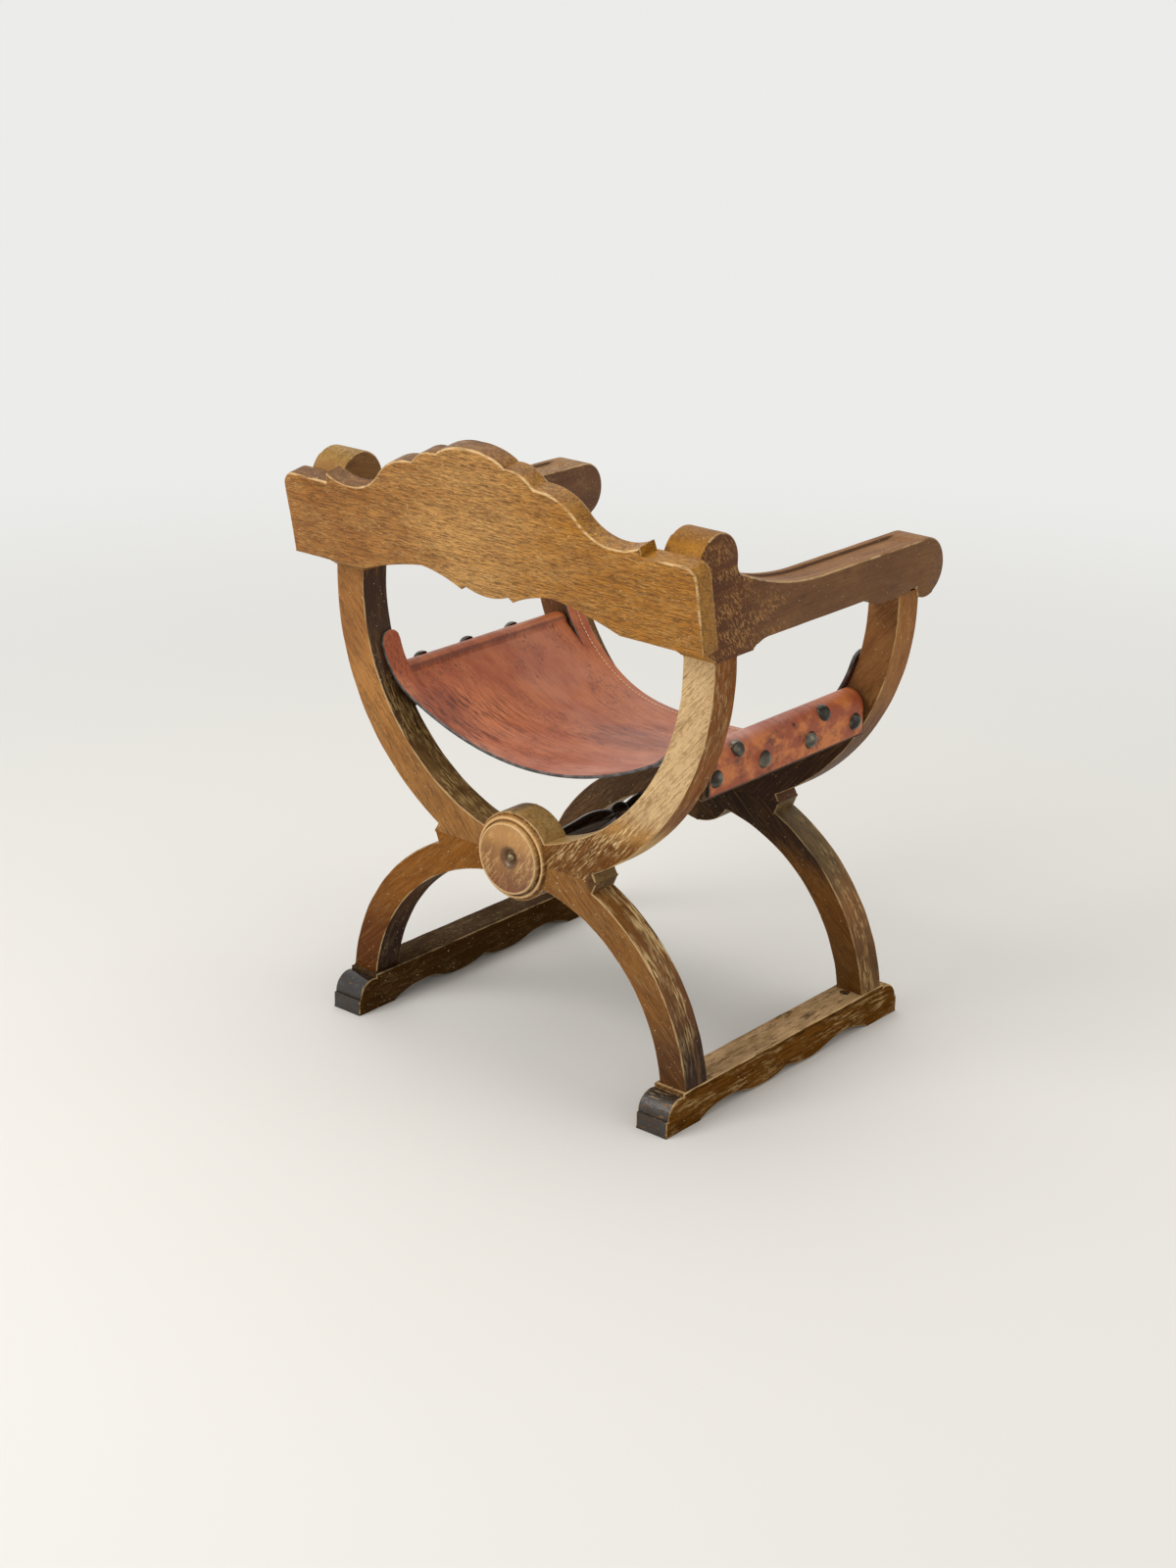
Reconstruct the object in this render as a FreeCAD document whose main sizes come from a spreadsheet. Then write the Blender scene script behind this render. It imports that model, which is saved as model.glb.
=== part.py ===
"""Dante chair in oak with a leather sling seat.

Frame: +Z is up, the sitter faces -Y, X runs across the chair, and the origin is the
middle of the footprint on the floor.  All lengths are millimetres.
"""
import FreeCAD, Part
import math
import os
import Sketcher

os.makedirs("parts", exist_ok=True)
doc = FreeCAD.newDocument("dante_chair")
vector = FreeCAD.Vector

# Driving sizes, each written once and kept in the sheet under its own alias
DRIVING = {
    # crossed frames, front and rear alike
    "frame_depth": 419.0,
    "post_depth": 43.5,
    "hub_height": 281.0,
    "boss_radius": 58.0,
    "arris": 2.2,
    # upper half of a crossed frame
    "bow_radius": 330.0,
    "bow_width": 46.5,
    "bow_half_span": 302.6,
    "bow_top": 600.0,
    "bow_dip": 28.0,
    # lower half of a crossed frame
    "leg_radius": 272.0,
    "leg_width": 40.5,
    "leg_inset": 21.6,
    "leg_rise": 12.0,
    # nosed spurs in the crotch of the crossed frame
    "spur_rise": 10.7,
    "spur_drop": 14.7,
    "spur_nose": 6.0,
    # hidden joinery
    "dowel_radius": 5.0,
    "dowel_half_length": 22.0,
    "hub_dowel_spread": 24.0,
    "seam_dowel_spread": 36.0,
    "post_dowel_radius": 7.0,
    "post_dowel_half_length": 24.0,
    "leg_tenon_thickness": 20.0,
    "leg_tenon_width": 28.0,
    "leg_tenon_length": 24.0,
    # floor runners
    "runner_overhang": 37.5,
    "runner_width": 48.0,
    "runner_height": 49.0,
    "runner_inset": 22.0,
    "foot_length": 67.0,
    "cove_height": 12.0,
    "lobe_clearance": 1.5,
    "toe_lip": 22.0,
    "toe_length": 33.0,
    "toe_step": 3.0,
    "toe_shoulder": 4.5,
    # turned stretcher between the hubs
    "stretcher_swell": 14.5,
    "stretcher_ball": 13.5,
    "stretcher_neck": 6.5,
    "stretcher_end": 8.0,
    # turned rosettes on the hubs
    "rosette_radius": 54.0,
    "rosette_height": 12.0,
    "rosette_rim": 6.0,
    "rosette_hollow": 2.8,
    "rosette_nail_radius": 6.2,
    # arms
    "arm_width": 53.0,
    "arm_seat_relief": 10.5,
    "arm_thickness": 63.0,
    "arm_saddle_radius": 419.0,
    "arm_channel_depth": 2.6,
    "arm_channel_border": 11.0,
    "arm_notch": 3.5,
    "arm_heel": 12.0,
    "volute_radius": 37.0,
    "volute_rise": 117.0,
    "scroll_radius": 38.0,
    "scroll_overhang": 10.5,
    # raked back board
    "board_overhang": 22.4,
    "board_rise": 194.4,
    "board_thickness": 29.0,
    "board_above_arm_seat": 22.0,
    "board_behind_frame": 50.9,
    "board_rake_degrees": 10.76,
    "board_arris": 4.0,
    "board_dowel_low": 24.0,
    "board_dowel_high": 72.0,
    # rails that carry the seat
    "rail_above_hub": 183.0,
    "rail_outward": 3.8,
    "rail_thickness": 26.0,
    "rail_height": 56.0,
    "rail_round": 8.0,
    "rail_shoulder": 17.0,
    "rail_tenon_thickness": 10.0,
    "rail_tenon_height": 30.0,
    "rail_tenon_length": 22.0,
    # leather seat: heights are drops below or rises above the top of the rails
    "leather": 4.2,
    "leather_setback": 19.5,
    "slit_gap": 8.0,
    "flap_drop": 52.0,
    "sag_inset": 35.0,
    "rear_sag_drop": 71.0,
    "rear_edge_drop": 20.0,
    "front_sag_drop": 107.0,
    "front_edge_drop": 40.0,
    "crease_drop": 9.0,
    "ear_contact_rise": 34.0,
    "ear_tip_rise": 52.0,
    "hem_width": 18.0,
    "hem_thickness": 2.0,
    "clearance": 0.3,
    # fasteners
    "nail_head_radius": 11.4,
    "nail_head_height": 7.5,
    "nail_shank_radius": 1.4,
    "nail_shank_length": 18.0,
    "nail_lower_drop": 31.5,
    "nail_margin": 15.0,
    "nail_lower_shift": 3.0,
    "nail_upper_inset": 6.5,
    "nail_upper_shift": 13.0,
    "nail_upper_degrees": 35.0,
    "foot_screw_head": 5.5,
    "foot_screw_recess": 7.0,
    "foot_screw_sink": 3.0,
    "foot_screw_length": 30.0,
    "foot_screw_shank": 2.2,
}

# Sizes that follow from the driving ones, as formulas in the same sheet
FOLLOWING = {
    "bow_centre_height": "hub_height - bow_dip + bow_radius",
    "bow_offset": "sqrt(bow_radius^2 - (bow_top - bow_centre_height)^2) - bow_half_span",
    "bow_root": "sqrt(bow_radius^2 - (bow_centre_height - hub_height - spur_rise)^2) - bow_offset",
    "leg_half_span": "bow_half_span - leg_inset",
    "leg_centre_height": "hub_height + leg_rise - leg_radius",
    "leg_offset": "leg_half_span - sqrt(leg_radius^2 - (runner_height - leg_centre_height)^2)",
    "leg_root": "sqrt(leg_radius^2 - (hub_height - spur_drop - leg_centre_height)^2) + leg_offset",
    "spur_tip": "max(bow_root; leg_root) + spur_nose",
    "runner_length": "frame_depth + 2 * runner_overhang",
    "runner_centre": "leg_half_span - runner_inset",
    "volute_height": "bow_top + volute_rise",
    "scroll_centre": "frame_depth / 2 + scroll_overhang",
    "board_half_width": "bow_half_span + board_overhang",
    "board_bottom": "bow_top + board_above_arm_seat",
    "board_back": "frame_depth / 2 + board_behind_frame",
    "board_reach": "board_back + board_rise * sin(board_rake_degrees * 1 deg)",
    "frame_setback": "(board_reach - scroll_centre - scroll_radius) / 2",
    "rail_top": "hub_height + rail_above_hub",
    "rail_sagitta": "bow_centre_height - rail_top + rail_height / 2",
    "rail_centre": "sqrt((bow_radius - bow_width / 2)^2 - rail_sagitta^2) - bow_offset + rail_outward",
    "rail_inside": "rail_centre - rail_thickness / 2",
    "seat_half_depth": "frame_depth / 2 - leather_setback",
    "slit_half_depth": "frame_depth / 2 - post_depth - slit_gap",
    "sag_half_span": "rail_inside - sag_inset",
    "nail_lower_pitch": "(slit_half_depth - nail_margin) * 2 / 3",
    "nail_upper_pitch": "nail_lower_pitch - nail_upper_inset",
}

sizes = doc.addObject("Spreadsheet::Sheet", "Sizes")
for row, (alias, value) in enumerate(DRIVING.items(), start=1):
    sizes.set(f"A{row}", alias)
    sizes.set(f"B{row}", str(value))
    sizes.setAlias(f"B{row}", alias)
for row, (alias, formula) in enumerate(FOLLOWING.items(), start=len(DRIVING) + 1):
    sizes.set(f"A{row}", alias)
    sizes.set(f"B{row}", "=" + formula)
    sizes.setAlias(f"B{row}", alias)
doc.recompute()
working = doc.addObject("Spreadsheet::Sheet", "Working")
WORKING_CELL = "A1"


def size(alias):
    """One size, read back from the sheet."""
    return float(sizes.get(alias))


def number(expression):
    """The value of an expression written in the sheet's aliases, worked out in a working sheet."""
    working.set(WORKING_CELL, "=" + expression)
    working.recompute()
    return float(working.get(WORKING_CELL))


# Exponents of the two hanging edges: the rear hangs as a parabola, the stiff front hem flatter
REAR_SAG_SHARE = 2.0
FRONT_SAG_SHARE = 3.2
SAG_STEPS = 6
HALF_TURN = 180.0
# Where the middle of each long arc is picked, as a turn about the arc's centre
BOW_MIDDLE_DEGREES = 45.0
LEG_MIDDLE_DEGREES = 35.0
# The middle nail of the upper row is missing on one side
LOST_NAIL = 5


def bind(item, **expressions):
    """Bind properties of a document object to cells of the sheet."""
    for name, expression in expressions.items():
        item.setExpression(name, expression)


def origin_plane(body, role):
    """The body's own origin plane or axis with this role."""
    return next(item for item in body.Origin.OriginFeatures if item.Role == role)


def outline_sketch(body, name, role, start, runs):
    """A closed outline on an origin plane, with each corner held by two bound distances.

    start and the end of each run are pairs of expressions; a run is ("line", end) or
    ("arc", middle, end), and the last run ends at the start.
    """
    sketch = body.newObject("Sketcher::SketchObject", name)
    sketch.AttachmentSupport = [(origin_plane(body, role), "")]
    sketch.MapMode = "FlatFace"
    corner = [vector(number(start[0]), number(start[1]), 0)]
    held = [start]
    pieces = []
    for run in runs:
        target = vector(number(run[-1][0]), number(run[-1][1]), 0)
        if run[0] == "line":
            index = sketch.addGeometry(Part.LineSegment(corner[-1], target), False)
            pieces.append((index, 1, 2))
        else:
            middle = vector(number(run[1][0]), number(run[1][1]), 0)
            index = sketch.addGeometry(Part.Arc(corner[-1], middle, target), False)
            forward = sketch.getPoint(index, 1).distanceToPoint(corner[-1])
            backward = sketch.getPoint(index, 2).distanceToPoint(corner[-1])
            pieces.append((index, 1, 2) if forward < backward else (index, 2, 1))
        corner.append(target)
        held.append(run[-1])
    for piece, following in zip(pieces, pieces[1:] + pieces[:1]):
        joint = Sketcher.Constraint("Coincident", piece[0], piece[2], following[0], following[1])
        sketch.addConstraint(joint)
    for piece, point, texts in zip(pieces, corner, held):
        for kind, value, text in (("DistanceX", point.x, texts[0]), ("DistanceY", point.y, texts[1])):
            index = sketch.addConstraint(Sketcher.Constraint(kind, -1, 1, piece[0], piece[1], value))
            sketch.setExpression(f"Constraints[{index}]", text)
    return sketch


def aliases(text):
    """Spell an expression for a property outside the sheet: $name becomes Sizes.name."""
    return text.replace("$", "Sizes.")


def run_list(runs):
    """Spell every expression of an outline."""
    spelled = []
    for run in runs:
        spelled.append((run[0],) + tuple((aliases(point[0]), aliases(point[1])) for point in run[1:]))
    return spelled


def padded_body(label, role, start, runs, length):
    """A body with one symmetric pad of a closed outline."""
    body = doc.addObject("PartDesign::Body", label)
    start = (aliases(start[0]), aliases(start[1]))
    sketch = outline_sketch(body, label + "_outline", role, start, run_list(runs))
    pad = body.newObject("PartDesign::Pad", label + "_pad")
    pad.Profile = sketch
    pad.SideType = "Symmetric"
    pad.Length = number(aliases(length))
    bind(pad, Length=aliases(length))
    sketch.Visibility = False
    doc.recompute()
    return body


def break_edges(body, label, radius, wanted):
    """Take the sharpness off the tip's edges that the wanted test picks."""
    base = body.Tip
    names = [f"Edge{index}" for index, edge in enumerate(base.Shape.Edges, start=1) if wanted(edge)]
    worn = body.newObject("PartDesign::Chamfer", label + "_arris")
    worn.Base = (base, names)
    worn.Size = number(aliases(radius))
    bind(worn, Size=aliases(radius))
    doc.recompute()


def bore(body, label, radius, length, place, direction):
    """Drill a cylinder out of a body, from a place along a direction."""
    tool = body.newObject("PartDesign::SubtractiveCylinder", label)
    bind(tool, Radius=aliases(radius), Height=aliases(length))
    tool.Placement = FreeCAD.Placement(place, FreeCAD.Rotation(vector(0, 0, 1), direction))


def mortise(body, label, lengths, place):
    """Cut a box out of a body; its lowest corner is at place."""
    tool = body.newObject("PartDesign::SubtractiveBox", label)
    bind(tool, Length=aliases(lengths[0]), Width=aliases(lengths[1]), Height=aliases(lengths[2]))
    tool.Placement = FreeCAD.Placement(place, FreeCAD.Rotation())


def plane_corner(body, label, width, length, corner, degrees):
    """Plane an upright corner of a body flat, with a square bar turned outwards by these degrees."""
    tool = body.newObject("PartDesign::SubtractiveBox", label)
    across = aliases(f"2 * {width}")
    bind(tool, Length=across, Width=across, Height=aliases(length))
    turn = FreeCAD.Rotation(vector(0, 0, 1), degrees)
    reach = number(aliases(width))
    back = turn.multVec(vector(-reach * math.sqrt(0.5), -reach, 0))
    tool.Placement = FreeCAD.Placement(corner + back, turn)


def tenon(body, label, lengths, place):
    """Add a box to a body; its lowest corner is at place."""
    tool = body.newObject("PartDesign::AdditiveBox", label)
    bind(tool, Length=aliases(lengths[0]), Width=aliases(lengths[1]), Height=aliases(lengths[2]))
    tool.Placement = FreeCAD.Placement(place, FreeCAD.Rotation())


def code_part(label, shape):
    """A sub-part whose shape is worked out in code from the sheet's sizes."""
    item = doc.addObject("Part::Feature", label)
    item.Shape = shape
    return item


def is_flat_side(edge, axis, half):
    """True for an edge that lies in the plane at plus or minus half along an axis."""
    reach = [abs(abs(getattr(vertex.Point, axis)) - half) for vertex in edge.Vertexes]
    box = edge.BoundBox
    spread = getattr(box, axis.upper() + "Length")
    return max(reach) < size("clearance") and spread < size("clearance")


# Places worked out from the driving sizes
frame_half = size("frame_depth") / 2
post_half = size("post_depth") / 2
frame_middle = frame_half - post_half
inner_face = frame_half - size("post_depth")
hub = size("hub_height")
bow_inner = size("bow_radius") - size("bow_width")
BOW_OUT = "(sqrt($bow_radius^2 - ($bow_top - $bow_centre_height)^2) - $bow_offset)"
BOW_IN = "(sqrt(($bow_radius - $bow_width)^2 - ($bow_top - $bow_centre_height)^2) - $bow_offset)"
LEG_OUT = "(sqrt($leg_radius^2 - ($runner_height - $leg_centre_height)^2) + $leg_offset)"
LEG_IN = "(sqrt(($leg_radius - $leg_width)^2 - ($runner_height - $leg_centre_height)^2) + $leg_offset)"
bow_top_centre = (number(aliases(BOW_OUT)) + number(aliases(BOW_IN))) / 2
leg_foot_centre = (number(aliases(LEG_OUT)) + number(aliases(LEG_IN))) / 2
ear_contact = size("rail_top") + size("ear_contact_rise")
ear_tip = size("rail_top") + size("ear_tip_rise")


def circle_meets_boss(centre_x, centre_z, radius):
    """Where an inner curve of the crossed frame meets the round boss, on the +X side."""
    away = vector(-centre_x, hub - centre_z, 0)
    distance = away.Length
    along = (radius**2 - size("boss_radius")**2 + distance**2) / (2 * distance)
    aside = math.sqrt(radius**2 - along**2)
    unit = away.multiply(1 / distance)
    side = 1 if unit.y < 0 else -1
    across = side * aside
    return centre_x + along * unit.x - across * unit.y, centre_z + along * unit.y + across * unit.x


def text(value):
    """A worked-out place as an expression that still names a driving size."""
    return f"$hub_height * {value / hub:.9f}"


def bow(label, inner_side):
    """Upper quarter of a crossed frame on the +X side: hub, bow and arm seat."""
    join_x, join_z = circle_meets_boss(-size("bow_offset"), size("bow_centre_height"), bow_inner)
    turn = math.radians(BOW_MIDDLE_DEGREES)
    middle_out = (f"($bow_radius * {math.cos(turn):.9f} - $bow_offset)",
                  f"($bow_centre_height - $bow_radius * {math.sin(turn):.9f})")
    middle_in = (f"(($bow_radius - $bow_width) * {math.cos(turn):.9f} - $bow_offset)",
                 f"($bow_centre_height - ($bow_radius - $bow_width) * {math.sin(turn):.9f})")
    boss_turn = math.atan2(join_z - hub, join_x)
    boss_middle = (boss_turn + math.pi / 2) / 2
    runs = [
        ("line", ("$spur_tip", "$hub_height")),
        ("line", ("$bow_root", "$hub_height + $spur_rise")),
        ("arc", middle_out, (BOW_OUT, "$bow_top")),
        ("line", (BOW_IN, "$bow_top")),
        ("arc", middle_in, (text(join_x), text(join_z))),
        ("arc", (f"$boss_radius * {math.cos(boss_middle):.9f}",
                 f"$hub_height + $boss_radius * {math.sin(boss_middle):.9f}"),
         ("$hub_height * 0", "$hub_height + $boss_radius")),
        ("line", ("$hub_height * 0", "$hub_height")),
    ]
    body = padded_body(label, "XZ_Plane", ("$hub_height * 0", "$hub_height"), runs, "$post_depth")
    long = 2 * size("boss_radius")
    break_edges(body, label, "$arris", lambda edge: is_flat_side(edge, "y", post_half)
                and edge.BoundBox.ZMax > hub + long and edge.BoundBox.ZLength > long)
    drill_hub(body, label, 1)
    seat = vector(bow_top_centre, 0, size("bow_top") - size("post_dowel_half_length"))
    bore(body, label + "_arm_bore", "$post_dowel_radius", "$post_dowel_half_length", seat, vector(0, 0, 1))
    tenon_low = size("rail_top") - (size("rail_height") + size("rail_tenon_height")) / 2
    tenon_x = size("rail_inside") + (size("rail_thickness") - size("rail_tenon_thickness")) / 2
    start_y = -post_half if inner_side < 0 else post_half - size("rail_tenon_length")
    opening = ("$rail_tenon_thickness", "$rail_tenon_length", "$rail_tenon_height")
    mortise(body, label + "_rail_mortise", opening, vector(tenon_x, start_y, tenon_low))
    return body


def drill_hub(body, label, side):
    """The bores that a quarter shares with its neighbours at the hub; side is +1 above the seam."""
    reach = "$dowel_half_length"
    centre = vector(0, -post_half, hub)
    bore(body, label + "_stretcher_bore", "$stretcher_end", "$post_depth", centre, vector(0, 1, 0))
    across = vector(0, 0, hub + side * size("hub_dowel_spread"))
    bore(body, label + "_centre_seam_bore", "$dowel_radius", reach, across, vector(1, 0, 0))
    upright = vector(size("seam_dowel_spread"), 0, hub)
    bore(body, label + "_side_seam_bore", "$dowel_radius", reach, upright, vector(0, 0, side))


def leg(label):
    """Lower quarter of a crossed frame on the +X side: hub, curved leg and foot tenon."""
    join_x, join_z = circle_meets_boss(size("leg_offset"), size("leg_centre_height"),
                                       size("leg_radius") - size("leg_width"))
    turn = math.radians(LEG_MIDDLE_DEGREES)
    middle_out = (f"($leg_radius * {math.cos(turn):.9f} + $leg_offset)",
                  f"($leg_centre_height + $leg_radius * {math.sin(turn):.9f})")
    middle_in = (f"(($leg_radius - $leg_width) * {math.cos(turn):.9f} + $leg_offset)",
                 f"($leg_centre_height + ($leg_radius - $leg_width) * {math.sin(turn):.9f})")
    boss_turn = math.atan2(join_z - hub, join_x)
    boss_middle = (boss_turn - math.pi / 2) / 2
    runs = [
        ("line", ("$spur_tip", "$hub_height")),
        ("line", ("$leg_root", "$hub_height - $spur_drop")),
        ("arc", middle_out, (LEG_OUT, "$runner_height")),
        ("line", (LEG_IN, "$runner_height")),
        ("arc", middle_in, (text(join_x), text(join_z))),
        ("arc", (f"$boss_radius * {math.cos(boss_middle):.9f}",
                 f"$hub_height + $boss_radius * {math.sin(boss_middle):.9f}"),
         ("$hub_height * 0", "$hub_height - $boss_radius")),
        ("line", ("$hub_height * 0", "$hub_height")),
    ]
    body = padded_body(label, "XZ_Plane", ("$hub_height * 0", "$hub_height"), runs, "$post_depth")
    long = 2 * size("boss_radius")
    break_edges(body, label, "$arris", lambda edge: is_flat_side(edge, "y", post_half)
                and edge.BoundBox.ZMax < hub - size("clearance") and edge.BoundBox.ZLength > long)
    drill_hub(body, label, -1)
    tenon(body, label + "_tenon", ("$leg_tenon_thickness", "$leg_tenon_width", "$leg_tenon_length"),
          vector(leg_foot_centre - size("leg_tenon_thickness") / 2, -size("leg_tenon_width") / 2,
                 size("runner_height") - size("leg_tenon_length")))
    return body


def place_quarter(body, x_side, y_side):
    """Put a +X quarter on its side of the chair, in the front or rear frame."""
    turn = FreeCAD.Rotation(vector(0, 0, 1), 0 if x_side > 0 else HALF_TURN)
    body.Placement = FreeCAD.Placement(vector(0, y_side * frame_middle, 0), turn)


def runner(label):
    """Floor runner, built about its own middle: moulded toes and a scalloped underside."""
    half = "$runner_length / 2"
    zero = "$runner_length * 0"
    cove_end = "($runner_length / 2 - $foot_length)"
    join = "($runner_length / 2 - $foot_length) * 0.47"
    toe_back = "($runner_length / 2 - $toe_length)"
    toe_swell = "$toe_lip + ($runner_height - $toe_shoulder - $toe_lip) * 0.74"
    right = [
        ("arc", (f"{join} * 0.53", "$lobe_clearance"), (join, "$cove_height * 0.5")),
        ("arc", (f"{join} * 1.53", "$cove_height"), (cove_end, zero)),
        ("line", (half, zero)),
        ("line", (half, "$toe_lip")),
        ("line", (f"{half} - $toe_step", "$toe_lip")),
        ("arc", (f"{half} - $toe_length * 0.30", toe_swell),
         (toe_back, "$runner_height - $toe_shoulder")),
        ("line", (toe_back, "$runner_height")),
    ]
    corners = [(zero, "$cove_height * 0.8")] + [run[-1] for run in right]
    left = [("line", (f"-({toe_back})", "$runner_height"))]
    for index in range(len(right) - 1, -1, -1):
        end = (f"-({corners[index][0]})", corners[index][1])
        if right[index][0] == "line":
            left.append(("line", end))
        else:
            middle = right[index][1]
            left.append(("arc", (f"-({middle[0]})", middle[1]), end))
    body = padded_body(label, "YZ_Plane", corners[0], right + left, "$runner_width")
    side_half = size("runner_width") / 2
    top = size("runner_height")
    break_edges(body, label, "$arris", lambda edge: is_flat_side(edge, "x", side_half)
                and edge.BoundBox.ZMin > top - size("clearance"))
    for y_side in (-1, 1):
        tag = "front" if y_side < 0 else "rear"
        opening = ("$leg_tenon_thickness", "$leg_tenon_width", "$leg_tenon_length")
        mortise(body, f"{label}_{tag}_mortise", opening,
                vector(leg_foot_centre - size("runner_centre") - size("leg_tenon_thickness") / 2,
                       y_side * frame_middle - size("leg_tenon_width") / 2,
                       top - size("leg_tenon_length")))
        screw_y = y_side * (inner_face - size("foot_screw_recess"))
        mouth = vector(0, screw_y, top - size("foot_screw_sink"))
        bore(body, f"{label}_{tag}_recess", "$foot_screw_recess", "$foot_screw_sink + $arris", mouth,
             vector(0, 0, 1))
        bottom = vector(0, screw_y, top - size("foot_screw_sink") - size("foot_screw_length"))
        bore(body, f"{label}_{tag}_pilot", "$foot_screw_shank", "$foot_screw_length + $arris", bottom,
             vector(0, 0, 1))
    return body


def arm(label):
    """Arm, built about its own mid-plane: rear volute, saddle, channelled top and front scroll."""
    rake = math.tan(math.radians(size("board_rake_degrees")))
    plane = (f"($board_back - $board_thickness / {math.cos(math.radians(size('board_rake_degrees'))):.9f}"
             f" + (%s - $board_bottom) * {rake:.9f})")
    underside = "$bow_top"
    relief = "($bow_top + $arm_seat_relief)"
    top = "($bow_top + $arm_thickness)"
    volute_y = f"({plane % '$volute_height'} - $volute_radius)"
    saddle_y = f"({volute_y} - $volute_radius * 1.36)"
    saddle_z = f"({top} + $arm_saddle_radius - sqrt($arm_saddle_radius^2 - {saddle_y}^2))"
    saddle_half = f"({saddle_y} * 0.5)"
    saddle_middle = f"({top} + $arm_saddle_radius - sqrt($arm_saddle_radius^2 - {saddle_half}^2))"
    scroll_z = f"({top} - $scroll_radius)"
    pad_rear = "($frame_depth / 2 - $post_depth * 1.60)"
    pad_front = "($post_depth * 2.17 - $frame_depth / 2)"
    heel = (f"{plane % '$bow_top'} - $arm_heel * 1.4", underside)
    runs = [
        ("line", (pad_rear, underside)),
        ("arc", (f"({pad_rear} - $post_depth * 0.30)", f"({underside} + $arm_seat_relief * 0.72)"),
         (f"({pad_rear} - $post_depth * 0.80)", relief)),
        ("line", (f"({pad_front} + $post_depth * 0.62)", relief)),
        ("arc", (f"({pad_front} + $post_depth * 0.32)", f"({underside} + $arm_seat_relief * 0.42)"),
         (pad_front, underside)),
        ("line", ("$post_depth / 2 - $frame_depth / 2", underside)),
        ("line", ("$post_depth / 2 - $frame_depth / 2", "$bow_top + $arm_notch")),
        ("line", ("$post_depth / 4 - $frame_depth / 2", "$bow_top + $arm_notch")),
        ("line", (f"$scroll_radius * 0.447 - $scroll_centre", f"{scroll_z} - $scroll_radius * 0.894")),
        ("arc", ("-$scroll_centre - $scroll_radius", scroll_z),
         ("-$scroll_centre", f"{scroll_z} + $scroll_radius")),
        ("line", ("$frame_depth * 0", top)),
        ("arc", (saddle_half, saddle_middle), (saddle_y, saddle_z)),
        ("arc", (f"{volute_y} - $volute_radius * 1.09", f"$volute_height - $volute_radius * 0.42"),
         (f"{volute_y} - $volute_radius", "$volute_height - $volute_radius * 0.10")),
        ("arc", (volute_y, "$volute_height + $volute_radius"),
         (plane % "$volute_height", "$volute_height")),
        ("line", (plane % "($bow_top + $arm_heel)", "$bow_top + $arm_heel")),
        ("line", heel),
    ]
    body = padded_body(label, "YZ_Plane", heel, runs, "$arm_width")
    carve_channel(body, label, top)
    for y_side in (-1, 1):
        tag = "front" if y_side < 0 else "rear"
        seat = vector(0, y_side * frame_middle, size("bow_top"))
        bore(body, f"{label}_{tag}_bore", "$post_dowel_radius", "$post_dowel_half_length", seat,
             vector(0, 0, 1))
    for tag, spot in board_dowel_spots():
        bore(body, f"{label}_{tag}_bore", "$dowel_radius", "$dowel_half_length", spot, into_arm())
    return body


def carve_channel(body, label, top):
    """The long shallow channel along the arm's top, between its two raised borders."""
    low = f"({top} - $arm_channel_depth)"
    high = f"({top} + $volute_radius)"
    rear = "($frame_depth / 2 - $post_depth * 2)"
    front = "($post_depth * 0.12 - $frame_depth / 2)"
    start = (rear, f"({low} + $arm_channel_depth * 4.2)")
    runs = [
        ("line", (rear, high)),
        ("line", (front, high)),
        ("line", (front, f"({top} + $arm_channel_depth)")),
        ("arc", (f"({front} + $post_depth * 0.16)", f"({low} + $arm_channel_depth * 0.45)"),
         (f"({front} + $post_depth * 0.5)", low)),
        ("line", ("$frame_depth * 0", low)),
        ("arc", (f"{rear} * 0.52", f"({low} + $arm_channel_depth * 1.13)"), start),
    ]
    spelled_start = (aliases(start[0]), aliases(start[1]))
    sketch = outline_sketch(body, label + "_channel_outline", "YZ_Plane", spelled_start, run_list(runs))
    pocket = body.newObject("PartDesign::Pocket", label + "_channel")
    pocket.Profile = sketch
    pocket.SideType = "Symmetric"
    width = "$arm_width - 2 * $arm_channel_border"
    pocket.Length = number(aliases(width))
    bind(pocket, Length=aliases(width))
    sketch.Visibility = False
    doc.recompute()


def into_arm():
    """Unit direction from the board's front face straight into an arm's rear end."""
    lean = math.radians(size("board_rake_degrees"))
    return vector(0, -math.cos(lean), math.sin(lean))


def board_dowel_spots():
    """Where the dowels cross the board's front face, in the arm's mid-plane."""
    lean = math.radians(size("board_rake_degrees"))
    spots = []
    for tag, rise in (("low_dowel", size("board_dowel_low")), ("high_dowel", size("board_dowel_high"))):
        y = size("board_back") + rise * math.sin(lean) - size("board_thickness") * math.cos(lean)
        z = size("board_bottom") + rise * math.cos(lean) + size("board_thickness") * math.sin(lean)
        spots.append((tag, vector(0, y, z)))
    return spots


# Crest and lower edge of the back board, as shares of its half width and its rise
CREST_SHARES = [
    ("arc", (0.083, 0.988), (0.154, 0.941)),
    ("line", (0.165, 0.923)),
    ("arc", (0.234, 0.908), (0.286, 0.846)),
    ("line", (0.298, 0.831)),
    ("arc", (0.375, 0.815), (0.477, 0.702)),
    ("arc", (0.542, 0.607), (0.640, 0.566)),
    ("arc", (0.705, 0.580), (0.760, 0.617)),
    ("line", (0.766, 0.558)),
    ("line", (0.938, 0.563)),
    ("arc", (0.984, 0.535), (1.0, 0.463)),
    ("line", (1.0, 0.0)),
    ("line", (0.625, 0.0)),
    ("arc", (0.477, 0.081), (0.320, 0.131)),
    ("arc", (0.215, 0.098), (0.126, 0.036)),
    ("line", (0.105, 0.062)),
    ("arc", (0.055, 0.036), (0.0, 0.026)),
]
CREST_TOP_SHARE = 1.0


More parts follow.
